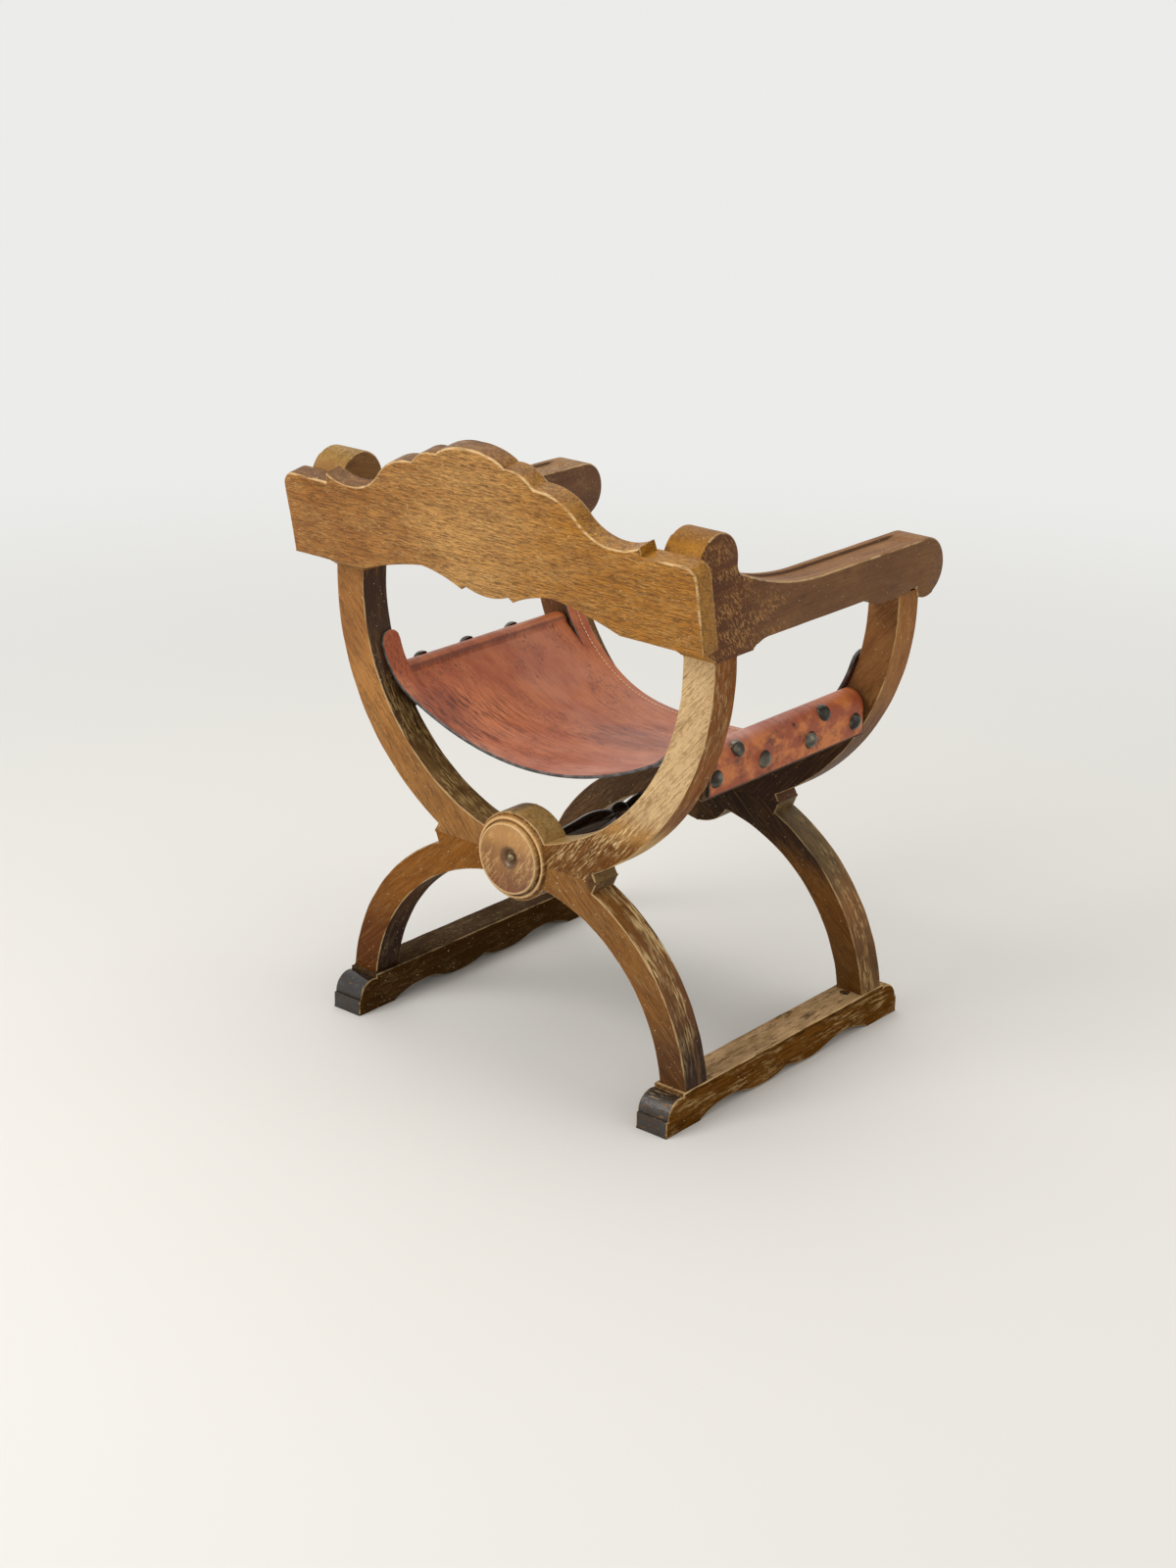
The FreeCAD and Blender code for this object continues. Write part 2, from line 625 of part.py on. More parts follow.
def back_board(label):
    """Raked back board: scalloped crest, shaped lower edge, symmetrical about the middle."""
    def spell(point, side):
        sign = "" if side > 0 else "-"
        return f"{sign}$board_half_width * {point[0]}", f"$board_rise * {point[1]}"

    corners = [(0.0, CREST_TOP_SHARE)] + [run[-1] for run in CREST_SHARES]
    runs = [(run[0],) + tuple(spell(point, 1) for point in run[1:]) for run in CREST_SHARES]
    for index in range(len(CREST_SHARES) - 1, -1, -1):
        run = CREST_SHARES[index]
        end = spell(corners[index], -1)
        runs.append(("line", end) if run[0] == "line" else ("arc", spell(run[1], -1), end))
    body = padded_body(label, "XZ_Plane", spell(corners[0], 1), runs, "$board_thickness")
    half = size("board_thickness") / 2
    for index, (x_side, y_side) in enumerate(((1, 1), (-1, 1), (-1, -1), (1, -1))):
        corner = vector(x_side * size("board_half_width"), y_side * half, -size("board_arris"))
        plane_corner(body, f"{label}_arris_{index + 1}", "$board_arris", "$board_rise", corner, 45 + 90 * index)
    for x_side in (-1, 1):
        for tag, rise in (("low", size("board_dowel_low")), ("high", size("board_dowel_high"))):
            side = "right" if x_side < 0 else "left"
            depth = "$board_thickness - $spur_nose"
            spot = vector(x_side * bow_top_centre, -half, rise)
            bore(body, f"{label}_{side}_{tag}_bore", "$dowel_radius", depth, spot, vector(0, 1, 0))
    lean = FreeCAD.Rotation(vector(1, 0, 0), -size("board_rake_degrees"))
    back_edge = lean.multVec(vector(0, half, 0))
    body.Placement = FreeCAD.Placement(
        vector(0, size("board_back") - back_edge.y, size("board_bottom") - back_edge.z), lean)
    return body


def seat_rail(label):
    """Seat rail at its +X place: rounded top, tenons at both ends, nail pilots in its outer face."""
    inside = "$rail_inside"
    outside = "($rail_inside + $rail_thickness)"
    top = "$rail_top"
    low = "($rail_top - $rail_height)"
    corner = 1 - math.sqrt(0.5)
    runs = [
        ("line", (outside, low)),
        ("line", (outside, f"{top} - $rail_shoulder")),
        ("arc", (f"{outside} - $rail_shoulder * {corner:.9f}", f"{top} - $rail_shoulder * {corner:.9f}"),
         (f"{outside} - $rail_shoulder", top)),
        ("line", (f"{inside} + $rail_round", top)),
        ("arc", (f"{inside} + $rail_round * {corner:.9f}", f"{top} - $rail_round * {corner:.9f}"),
         (inside, f"{top} - $rail_round")),
        ("line", (inside, low)),
    ]
    body = padded_body(label, "XZ_Plane", (inside, low), runs, "$frame_depth - 2 * $post_depth")
    x_low = size("rail_inside") + (size("rail_thickness") - size("rail_tenon_thickness")) / 2
    z_low = size("rail_top") - (size("rail_height") + size("rail_tenon_height")) / 2
    for tag, y_low in (("front", -inner_face - size("rail_tenon_length")), ("rear", inner_face)):
        lengths = ("$rail_tenon_thickness", "$rail_tenon_length", "$rail_tenon_height")
        tenon(body, f"{label}_{tag}_tenon", lengths, vector(x_low, y_low, z_low))
    return body


def nail_spots():
    """Place and outward direction of each seat nail at the +X rail, on the leather's outer face.

    The lower row stands level; the upper row sits on the rounded shoulder, turned up.
    """
    outside = size("rail_inside") + size("rail_thickness")
    skin = size("clearance") + size("leather")
    low = size("rail_top") - size("nail_lower_drop")
    spots = []
    for step in (-1.5, -0.5, 0.5, 1.5):
        y = step * size("nail_lower_pitch") + size("nail_lower_shift")
        spots.append((vector(outside + skin, y, low), vector(1, 0, 0)))
    tilt = math.radians(size("nail_upper_degrees"))
    outward = vector(math.cos(tilt), 0, math.sin(tilt))
    centre = vector(outside - size("rail_shoulder"), 0, size("rail_top") - size("rail_shoulder"))
    for step in (-1, 0, 1):
        y = step * size("nail_upper_pitch") + size("nail_upper_shift")
        spots.append((centre + outward * (size("rail_shoulder") + skin) + vector(0, y, 0), outward))
    return spots


def turned(label, profile, role="XY_Plane"):
    """A turned piece about the Y axis; the profile's points are (radius, along the axis)."""
    body = doc.addObject("PartDesign::Body", label)
    start = (aliases(profile[0][0]), aliases(profile[0][1]))
    sketch = outline_sketch(body, label + "_profile", role, start, run_list(profile[1:]))
    turn = body.newObject("PartDesign::Revolution", label + "_turning")
    turn.Profile = sketch
    turn.ReferenceAxis = (sketch, ["V_Axis"])
    turn.Angle = 360
    sketch.Visibility = False
    doc.recompute()
    return body


def stretcher(label):
    """Turned stretcher: a centre ball between two long vase swellings, tenoned into the hubs."""
    zero = "$stretcher_neck * 0"
    pilot = "$nail_shank_radius"
    span = "($frame_depth / 2 - $post_depth)"
    end = "($frame_depth / 2 - $clearance)"
    pilot_end = "($frame_depth / 2 - $nail_shank_length)"
    half = [
        ("arc", ("$stretcher_ball * 0.86", "$stretcher_ball * 0.62"),
         ("$stretcher_neck", "$stretcher_ball * 1.02")),
        ("line", ("$stretcher_neck", "$stretcher_ball * 1.36")),
        ("line", ("$stretcher_neck * 1.4", "$stretcher_ball * 1.36")),
        ("arc", ("$stretcher_swell", f"{span} * 0.30"), ("$stretcher_swell * 0.90", f"{span} * 0.46")),
        ("arc", ("$stretcher_swell * 0.66", f"{span} * 0.68"), ("$stretcher_end", f"{span} * 0.93")),
        ("line", ("$stretcher_end", end)),
    ]
    corners = [("$stretcher_ball", zero)] + [run[-1] for run in half]
    back = [
        ("line", (pilot, end)),
        ("line", (pilot, pilot_end)),
        ("line", (zero, pilot_end)),
        ("line", (zero, f"-{pilot_end}")),
        ("line", (pilot, f"-{pilot_end}")),
        ("line", (pilot, f"-{end}")),
        ("line", ("$stretcher_end", f"-{end}")),
    ]
    for index in range(len(half) - 1, -1, -1):
        point = (corners[index][0], f"-({corners[index][1]})")
        if half[index][0] == "line":
            back.append(("line", point))
        else:
            middle = half[index][1]
            back.append(("arc", (middle[0], f"-({middle[1]})"), point))
    body = turned(label, [corners[0]] + half + back)
    body.Placement = FreeCAD.Placement(vector(0, 0, hub), FreeCAD.Rotation())
    return body


def rosette(label, y_side):
    """Turned rosette: rounded rim, groove, beaded disc, and a dished middle with a nail hole."""
    zero = "$rosette_radius * 0"
    hole = "$nail_shank_radius"

    def at(radius, height, above="$rosette_height"):
        return f"$rosette_radius * {radius}", f"{above} * {height}"

    profile = [
        (hole, zero),
        ("line", ("$rosette_radius", zero)),
        ("line", at(1.0, 0.42, "$rosette_rim")),
        ("arc", at(0.984, 0.84, "$rosette_rim"), at(0.945, 1.0, "$rosette_rim")),
        ("line", at(0.915, 0.92, "$rosette_rim")),
        ("line", at(0.905, 0.66, "$rosette_rim")),
        ("line", at(0.885, 0.66, "$rosette_rim")),
        ("arc", at(0.868, 0.70), at(0.855, 0.95)),
        ("arc", at(0.835, 1.0), at(0.812, 0.93)),
        ("arc", at(0.560, 0.735), at(0.310, 0.66)),
        ("arc", at(0.205, 0.52), ("$rosette_radius * 0.142", "$rosette_hollow")),
        ("line", (hole, "$rosette_hollow")),
        ("line", (hole, zero)),
    ]
    body = turned(label, profile)
    turn = FreeCAD.Rotation(vector(0, 0, 1), 0 if y_side > 0 else HALF_TURN)
    body.Placement = FreeCAD.Placement(vector(0, y_side * frame_half, hub), turn)
    return body


def domed_nail(head_radius, head_height, shank_radius, shank_length):
    """A nail along +X with its head's flat underside at the origin."""
    sphere_radius = (head_radius**2 + head_height**2) / (2 * head_height)
    turn = math.asin(head_radius / sphere_radius) / 2
    tip = vector(-shank_length, 0, 0)
    taper = vector(2 * shank_radius - shank_length, shank_radius, 0)
    neck = vector(0, shank_radius, 0)
    edge = vector(0, head_radius, 0)
    crown = vector(head_height, 0, 0)
    side = vector(head_height - sphere_radius * (1 - math.cos(turn)), sphere_radius * math.sin(turn), 0)
    outline = [
        Part.LineSegment(tip, taper),
        Part.LineSegment(taper, neck),
        Part.LineSegment(neck, edge),
        Part.Arc(edge, side, crown),
        Part.LineSegment(crown, tip),
    ]
    wire = Part.Wire([piece.toShape() for piece in outline])
    return Part.Face(wire).revolve(vector(0, 0, 0), vector(1, 0, 0), 360)


def turned_to(shape, place, direction):
    """A copy of a +X piece, aimed along a direction and put at a place."""
    copy = shape.copy()
    copy.Placement = FreeCAD.Placement(place, FreeCAD.Rotation(vector(1, 0, 0), direction))
    return copy


def sag_height(x, y):
    """Height of the leather's middle surface between the rails, ruled from rear edge to front edge."""
    share = abs(x) / size("sag_half_span")
    rear_rise = (size("rear_sag_drop") - size("rear_edge_drop")) * share**REAR_SAG_SHARE
    front_rise = (size("front_sag_drop") - size("front_edge_drop")) * share**FRONT_SAG_SHARE
    rear = size("rail_top") - size("rear_sag_drop") + rear_rise
    front = size("rail_top") - size("front_sag_drop") + front_rise
    forward = (size("seat_half_depth") - y) / (2 * size("seat_half_depth"))
    return rear + (front - rear) * forward


def sag_normal(x, y):
    """Upward unit normal of the hanging curve in the plane of one section."""
    step = size("clearance")
    slope = (sag_height(x + step, y) - sag_height(x - step, y)) / (2 * step)
    return vector(-slope, 0, 1).normalize()


def sag_edge(y, offset):
    """The hanging part of one section, at an offset above its middle surface, from -X to +X."""
    points = []
    for step in range(-SAG_STEPS, SAG_STEPS + 1):
        x = size("sag_half_span") * step / SAG_STEPS
        points.append(vector(x, y, sag_height(x, y)) + sag_normal(x, y) * offset)
    curve = Part.BSplineCurve()
    curve.interpolate(points)
    return curve.toShape(), points[-1]


def mirrored(point):
    """The same place on the other side of the chair."""
    return vector(-point.x, point.y, point.z)


def section_wire(y, path_side, thickness, base_offset):
    """Closed section of the leather: path_side(y, offset, start) gives the +X edges past the sag."""
    upper, upper_end = sag_edge(y, base_offset + thickness / 2)
    lower, lower_end = sag_edge(y, base_offset - thickness / 2)
    upper_points = path_side(y, base_offset + thickness / 2, upper_end)
    lower_points = path_side(y, base_offset - thickness / 2, lower_end)
    edges = [upper]
    for chain, backwards in ((upper_points, False), (lower_points, True)):
        for kind, points in chain:
            edges.append(make_edge(kind, points))
            edges.append(make_edge(kind, [mirrored(point) for point in points]))
    edges.append(lower)
    for flip in (lambda point: point, mirrored):
        last_upper = flip(upper_points[-1][1][-1]) if upper_points else flip(upper_end)
        last_lower = flip(lower_points[-1][1][-1]) if lower_points else flip(lower_end)
        edges.append(Part.LineSegment(last_upper, last_lower).toShape())
    return Part.Wire(Part.__sortEdges__(edges))


def make_edge(kind, points):
    """A straight edge, an arc through three points, or a smooth curve through all of them."""
    if kind == "line":
        return Part.LineSegment(points[0], points[-1]).toShape()
    if kind == "arc":
        return Part.Arc(*points).toShape()
    curve = Part.BSplineCurve()
    curve.interpolate(points)
    return curve.toShape()


def over_rail(y, offset, start):
    """Edges from the sag up the rail's inner face, over its rounded top and down the outside."""
    half = size("leather") / 2
    gap = size("clearance") + half + offset
    inside = size("rail_inside") - gap
    outside = size("rail_inside") + size("rail_thickness") + gap
    round_z = size("rail_top") - size("rail_round")
    shoulder_z = size("rail_top") - size("rail_shoulder")
    top = size("rail_top") + gap
    diagonal = (size("rail_round") + gap) * math.sqrt(0.5)
    shoulder_diagonal = (size("rail_shoulder") + gap) * math.sqrt(0.5)
    inner_x = size("rail_inside") + size("rail_round")
    outer_x = size("rail_inside") + size("rail_thickness") - size("rail_shoulder")
    crease = vector(inside, y, size("rail_top") - size("crease_drop") + offset)
    flap_end = size("rail_top") - size("flap_drop")
    return [
        ("line", [start, crease]),
        ("line", [crease, vector(inside, y, round_z)]),
        ("arc", [vector(inside, y, round_z), vector(inner_x - diagonal, y, round_z + diagonal),
                 vector(inner_x, y, top)]),
        ("line", [vector(inner_x, y, top), vector(outer_x, y, top)]),
        ("arc", [vector(outer_x, y, top),
                 vector(outer_x + shoulder_diagonal, y, shoulder_z + shoulder_diagonal),
                 vector(outside, y, shoulder_z)]),
        ("line", [vector(outside, y, shoulder_z), vector(outside, y, flap_end)]),
    ]


def up_bow(y, offset, start):
    """Edges from the sag up an ear, which leans on the bow's inner face at its tip."""
    radius = bow_inner - size("clearance") - size("leather") / 2 - offset
    centre = vector(-size("bow_offset"), y, size("bow_centre_height"))

    def on_bow(z):
        drop = size("bow_centre_height") - z
        return vector(centre.x + math.sqrt(radius**2 - drop**2), y, z)

    contact = on_bow(ear_contact)
    tip = on_bow(ear_tip)
    middle = on_bow((ear_contact + ear_tip) / 2)
    edge_height = sag_height(size("sag_half_span"), y)
    low = vector(size("sag_half_span"), y, edge_height)
    top = vector(bow_inner - size("bow_offset") - size("leather"), y, ear_contact)
    across = (top - low)
    aside = vector(-across.z, 0, across.x).normalize()
    first = low + across * 0.30 + aside * (offset - size("spur_nose") * 0.55)
    second = low + across * 0.65 + aside * (offset - size("spur_nose") * 0.20)
    return [
        ("curve", [start, first, second, contact]),
        ("arc", [contact, middle, tip]),
    ]


def lofted(y_from, y_to, path_side, thickness, base_offset):
    """Solid between two like sections of the leather."""
    wires = [section_wire(y, path_side, thickness, base_offset) for y in (y_from, y_to)]
    return Part.makeLoft(wires, True, True)


def ear_tip_tools():
    """What is cut away to round the tips of the four ears."""
    width = size("seat_half_depth") - size("slit_half_depth")
    radius = width / 2
    reach = size("bow_radius")
    block = Part.makeBox(2 * reach, width, radius + size("leather"),
                         vector(-reach, size("slit_half_depth"), ear_tip - radius))
    round_end = Part.makeCylinder(radius, 2 * reach, vector(-reach, size("slit_half_depth") + radius,
                                                           ear_tip - radius), vector(1, 0, 0))
    rear = block.cut(round_end)
    front = rear.mirror(vector(0, 0, 0), vector(0, 1, 0))
    return [rear, front]


def leather_seat(label):
    """One hide: hung between the rails, wrapped over them and nailed, with four ears at the slits."""
    leather = size("leather")
    middle = lofted(-size("slit_half_depth"), size("slit_half_depth"), over_rail, leather, 0)
    rear = lofted(size("slit_half_depth"), size("seat_half_depth"), up_bow, leather, 0)
    front = lofted(-size("seat_half_depth"), -size("slit_half_depth"), up_bow, leather, 0)
    hide = middle.fuse([rear, front]).removeSplitter()
    hide = hide.cut(ear_tip_tools())
    holes = []
    for spot, outward in nail_spots():
        start = spot - outward * 2 * leather
        hole = Part.makeCylinder(size("nail_shank_radius"), 4 * leather, start, outward)
        holes.extend([hole, hole.mirror(vector(0, 0, 0), vector(1, 0, 0))])
    return code_part(label, solid_of(hide.cut(holes)))


def solid_of(shape):
    """The single solid inside a boolean result."""
    return shape.Solids[0] if len(shape.Solids) == 1 else shape


def no_path(y, offset, start):
    """A strip that ends where the sag ends has no further edges."""
    return []


def front_hem(label):
    """Doubling strip stitched under the leather's front edge."""
    below = -(size("leather") + size("hem_thickness")) / 2 - size("clearance")
    strip = lofted(-size("seat_half_depth"), size("hem_width") - size("seat_half_depth"), no_path,
                   size("hem_thickness"), below)
    return code_part(label, strip)


def cylinder_between(radius, start, end):
    """A plain dowel from one point to another."""
    along = end - start
    return Part.makeCylinder(radius, along.Length, start, along)


def hub_dowels(label, y_side):
    """Four dowels across the seams of one hub."""
    y = y_side * frame_middle
    reach = size("dowel_half_length") - size("clearance")
    radius = size("dowel_radius")
    pieces = []
    for side in (-1, 1):
        z = hub + side * size("hub_dowel_spread")
        pieces.append(cylinder_between(radius, vector(-reach, y, z), vector(reach, y, z)))
        x = side * size("seam_dowel_spread")
        pieces.append(cylinder_between(radius, vector(x, y, hub - reach), vector(x, y, hub + reach)))
    return code_part(label, Part.makeCompound(pieces))


def arm_dowels(label):
    """Dowels that pin the arms to the tops of the bows."""
    reach = size("post_dowel_half_length") - size("clearance")
    pieces = []
    for x_side in (-1, 1):
        for y_side in (-1, 1):
            spot = vector(x_side * bow_top_centre, y_side * frame_middle, size("bow_top"))
            pieces.append(cylinder_between(size("post_dowel_radius"), spot - vector(0, 0, reach),
                                           spot + vector(0, 0, reach)))
    return code_part(label, Part.makeCompound(pieces))


def board_dowels(label):
    """Dowels from the arms' rear ends into the back board."""
    inward = into_arm()
    into_board = size("board_thickness") - size("spur_nose") - size("clearance")
    into_end = size("dowel_half_length") - size("clearance")
    pieces = []
    for x_side in (-1, 1):
        for _, spot in board_dowel_spots():
            centre = vector(x_side * bow_top_centre, spot.y, spot.z)
            pieces.append(cylinder_between(size("dowel_radius"), centre - inward * into_board,
                                           centre + inward * into_end))
    return code_part(label, Part.makeCompound(pieces))


def seat_nails(label, side):
    """Domed nails that hold the leather to one rail; the -X rail has lost its middle upper nail."""
    nail = domed_nail(size("nail_head_radius"), size("nail_head_height"), size("nail_shank_radius"),
                      size("nail_shank_length"))
    pieces = []
    for index, (spot, outward) in enumerate(nail_spots()):
        if side > 0 or index != LOST_NAIL:
            place = spot if side > 0 else mirrored(spot)
            pieces.append(turned_to(nail, place, vector(side * outward.x, 0, outward.z)))
    return code_part(label, Part.makeCompound(pieces))


def rosette_nails(label):
    """One domed nail in the middle of each rosette."""
    radius = size("rosette_nail_radius")
    nail = domed_nail(radius, radius, size("nail_shank_radius"), size("nail_shank_length"))
    floor = frame_half + size("rosette_hollow")
    pieces = [turned_to(nail, vector(0, side * floor, hub), vector(0, side, 0)) for side in (-1, 1)]
    return code_part(label, Part.makeCompound(pieces))


def foot_screws(label):
    """Round-headed screws in the recesses beside the feet."""
    head = size("foot_screw_head")
    length = size("foot_screw_length") - size("clearance")
    screw = domed_nail(head, head * 0.5, size("foot_screw_shank"), length)
    reach = inner_face - size("foot_screw_recess")
    seat = size("runner_height") - size("foot_screw_sink")
    pieces = []
    for x_side in (-1, 1):
        for y_side in (-1, 1):
            place = vector(x_side * size("runner_centre"), y_side * reach, seat)
            pieces.append(turned_to(screw, place, vector(0, 0, 1)))
    return code_part(label, Part.makeCompound(pieces))


def drill_rail(body, label, side):
    """Pilot holes for the seat nails; the -X rail is the +X rail turned half round."""
    for index, (spot, outward) in enumerate(nail_spots()):
        start = spot - outward * size("nail_shank_length")
        start = vector(start.x, start.y * side, start.z)
        bore(body, f"{label}_pilot_{index}", "$nail_shank_radius", "$nail_shank_length", start, outward)


parts = []
for y_side, frame_name in ((1, "rear"), (-1, "front")):
    for x_side, side_name in ((1, "left"), (-1, "right")):
        bow_body = bow(f"{frame_name}_bow_{side_name}", -x_side * y_side)
        leg_body = leg(f"{frame_name}_leg_{side_name}")
        for quarter in (bow_body, leg_body):
            place_quarter(quarter, x_side, y_side)
            parts.append(quarter)
    parts.append(hub_dowels(f"{frame_name}_hub_dowels", y_side))
    parts.append(rosette(f"{frame_name}_rosette", y_side))

for x_side, side_name in ((1, "left"), (-1, "right")):
    turn = FreeCAD.Rotation(vector(0, 0, 1), 0 if x_side > 0 else HALF_TURN)
    runner_body = runner(f"floor_runner_{side_name}")
    runner_body.Placement = FreeCAD.Placement(vector(x_side * size("runner_centre"), 0, 0), turn)
    arm_body = arm(f"arm_{side_name}")
    arm_body.Placement = FreeCAD.Placement(vector(x_side * bow_top_centre, 0, 0), FreeCAD.Rotation())
    rail_body = seat_rail(f"seat_rail_{side_name}")
    drill_rail(rail_body, f"seat_rail_{side_name}", x_side)
    rail_body.Placement = FreeCAD.Placement(vector(0, 0, 0), turn)
    parts.extend([runner_body, arm_body, rail_body, seat_nails(f"seat_nails_{side_name}", x_side)])

parts.append(stretcher("turned_stretcher"))
parts.append(back_board("back_board"))
parts.append(leather_seat("leather_seat"))
parts.append(front_hem("front_hem_strip"))
parts.append(arm_dowels("arm_dowels"))
parts.append(board_dowels("back_board_dowels"))
parts.append(rosette_nails("rosette_nails"))
parts.append(foot_screws("foot_screws"))
for item in parts:
    item.Placement.Base = item.Placement.Base - vector(0, size("frame_setback"), 0)
doc.recompute()

for item in doc.Objects:
    if "Invalid" in item.State or "Error" in item.State:
        raise RuntimeError(f"{item.Label} failed: {item.State}")
for item in parts:
    if item.Shape.isNull() or not item.Shape.isValid():
        raise RuntimeError(f"{item.Label} has no valid shape")
for item in parts:
    item.Shape.exportStep(f"parts/{item.Label}.step")
    box = item.Shape.BoundBox
    print(f"{item.Label}: {len(item.Shape.Solids)} solid(s), {item.Shape.Volume / 1000:.1f} cm3, "
          f"x {box.XMin:.1f} {box.XMax:.1f}, y {box.YMin:.1f} {box.YMax:.1f}, z {box.ZMin:.1f} {box.ZMax:.1f}")
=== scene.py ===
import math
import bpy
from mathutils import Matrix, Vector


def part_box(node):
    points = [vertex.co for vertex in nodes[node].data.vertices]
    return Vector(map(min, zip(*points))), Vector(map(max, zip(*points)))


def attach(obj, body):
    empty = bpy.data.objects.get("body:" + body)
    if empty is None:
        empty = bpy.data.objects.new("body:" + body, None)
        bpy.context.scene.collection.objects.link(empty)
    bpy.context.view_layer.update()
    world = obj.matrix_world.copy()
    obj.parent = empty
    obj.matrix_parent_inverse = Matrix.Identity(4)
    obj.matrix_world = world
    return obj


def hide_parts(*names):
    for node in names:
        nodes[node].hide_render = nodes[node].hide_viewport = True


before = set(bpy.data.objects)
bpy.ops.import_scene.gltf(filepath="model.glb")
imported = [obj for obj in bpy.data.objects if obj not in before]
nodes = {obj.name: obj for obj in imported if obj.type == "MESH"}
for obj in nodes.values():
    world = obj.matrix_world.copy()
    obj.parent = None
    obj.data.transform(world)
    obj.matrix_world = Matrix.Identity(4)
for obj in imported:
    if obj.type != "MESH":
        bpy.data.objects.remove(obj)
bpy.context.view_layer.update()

# %% [markdown]
# # Dressing an old crossed-frame armchair
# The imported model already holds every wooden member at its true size.  This notebook
# gives it what a solid modeller leaves out: arrises worn round by hands, oak whose
# grain follows each curved member, and a hide that hangs like leather.  Everything
# below is in metres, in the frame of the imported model.

# %% Tools and shared measures
from types import SimpleNamespace

import bmesh
import bpy
import numpy as np
from mathutils import Matrix, Vector

MM = 0.001
TAU = 2 * math.pi

runner_low, runner_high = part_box("floor_runner_left")
post_low, post_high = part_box("rear_bow_left")
front_post_low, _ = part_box("front_bow_left")
rail_low, rail_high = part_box("seat_rail_left")
hide_low, hide_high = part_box("leather_seat")
board_low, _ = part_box("back_board")
stretcher_low, stretcher_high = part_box("turned_stretcher")

middle_y = (post_high.y + front_post_low.y) / 2
hub_z = (stretcher_low.z + stretcher_high.z) / 2
post_depth = post_high.y - post_low.y

# %% [markdown]
# ## Reading an outline back from the solid
# Bows, legs, arms, runners and the back board are all sawn from planks, so each one
# is an outline pushed through a thickness.  Cutting the solid with a plane just under
# its face gives that outline: every triangle that crosses the plane leaves one short
# segment, and the segments are walked end to end.

# %% How finely an outline is read
MERGE_MM = 0.002
ON_PLANE = 1e-9
UNDER_FACE = 3 * MM


# %% Corners and triangles of a node
def triangles(node):
    """Merged corner places of a node, and its triangles as rows of corner numbers."""
    mesh = nodes[node].data
    place = np.empty(len(mesh.vertices) * 3)
    mesh.vertices.foreach_get("co", place)
    mesh.calc_loop_triangles()
    corner = np.empty(len(mesh.loop_triangles) * 3, dtype=int)
    mesh.loop_triangles.foreach_get("vertices", corner)
    steps = np.round(place.reshape(-1, 3) / (MERGE_MM * MM)).astype(int)
    unique, merged = np.unique(steps, axis=0, return_inverse=True)
    return unique * MERGE_MM * MM, merged.reshape(-1)[corner].reshape(-1, 3)


print("triangles of the rear left bow:", len(triangles("rear_bow_left")[1]))


# %% Slice a node
def slice_outline(node, normal, depth):
    """Ordered (n, 3) outline where the plane at this depth along the normal cuts a node."""
    place, faces = triangles(node)
    height = place @ np.asarray(normal, float) - depth
    height = np.where(np.abs(height) < ON_PLANE, ON_PLANE, height)
    edges = np.stack([faces, np.roll(faces, -1, axis=1)], axis=-1)
    crossed = np.sign(height[edges[..., 0]]) != np.sign(height[edges[..., 1]])
    cut = crossed.sum(axis=1) == 2
    pair = np.sort(edges[cut][crossed[cut]], axis=-1)
    keys, links = np.unique(pair, axis=0, return_inverse=True)
    share = height[keys[:, 0]] / (height[keys[:, 0]] - height[keys[:, 1]])
    points = place[keys[:, 0]] + share[:, None] * (place[keys[:, 1]] - place[keys[:, 0]])
    touching = {}
    for a, b in links.reshape(-1, 2):
        touching.setdefault(a, []).append(b)
        touching.setdefault(b, []).append(a)
    loops = []
    while touching:
        here = next(iter(touching))
        loop = []
        while here is not None:
            loop.append(here)
            following = [k for k in touching.pop(here) if k in touching]
            here = following[0] if following else None
        loops.append(points[loop])
    return max(loops, key=lambda loop: np.ptp(loop, axis=0).max())


bow_cut = slice_outline("rear_bow_left", (0, 1, 0), post_high.y - UNDER_FACE)
print("points round the rear left bow:", len(bow_cut))

# %% [markdown]
# ## From outline to worn plank
# The outline is walked again at an even step, keeping its real corners.  Each point
# gets an outward direction, and the plank's surface is then one grid: round the
# outline in one direction and across the thickness in the other.  Near both faces the
# grid is drawn inwards along a quarter circle, which is the worn arris, and its radius
# wanders a little along the edge because wear is never even.

# %% Steps, corners and arrises
STEP, ROW_STEP = 3.0 * MM, 7.0 * MM
CORNER = math.radians(17)
SHORTEST = 0.02 * MM
MITRE_LIMIT = 0.45
ARRIS_WANDER, ARRIS_WAVES = 0.35, 23


# %% Lines walked by length
def lengths_along(line):
    """How far along a line of points each of them lies: the running sum of the distances."""
    return np.append(0, np.cumsum(np.linalg.norm(np.diff(line, axis=0), axis=1)))


def at_lengths(values, length, at):
    """Rows of values that belong to these lengths, read off between them at other lengths."""
    return np.stack([np.interp(at, length, values[:, k]) for k in range(values.shape[1])], axis=-1)


def unit(vectors):
    """Rows of vectors, each divided by its own length."""
    return vectors / np.linalg.norm(vectors, axis=-1, keepdims=True)


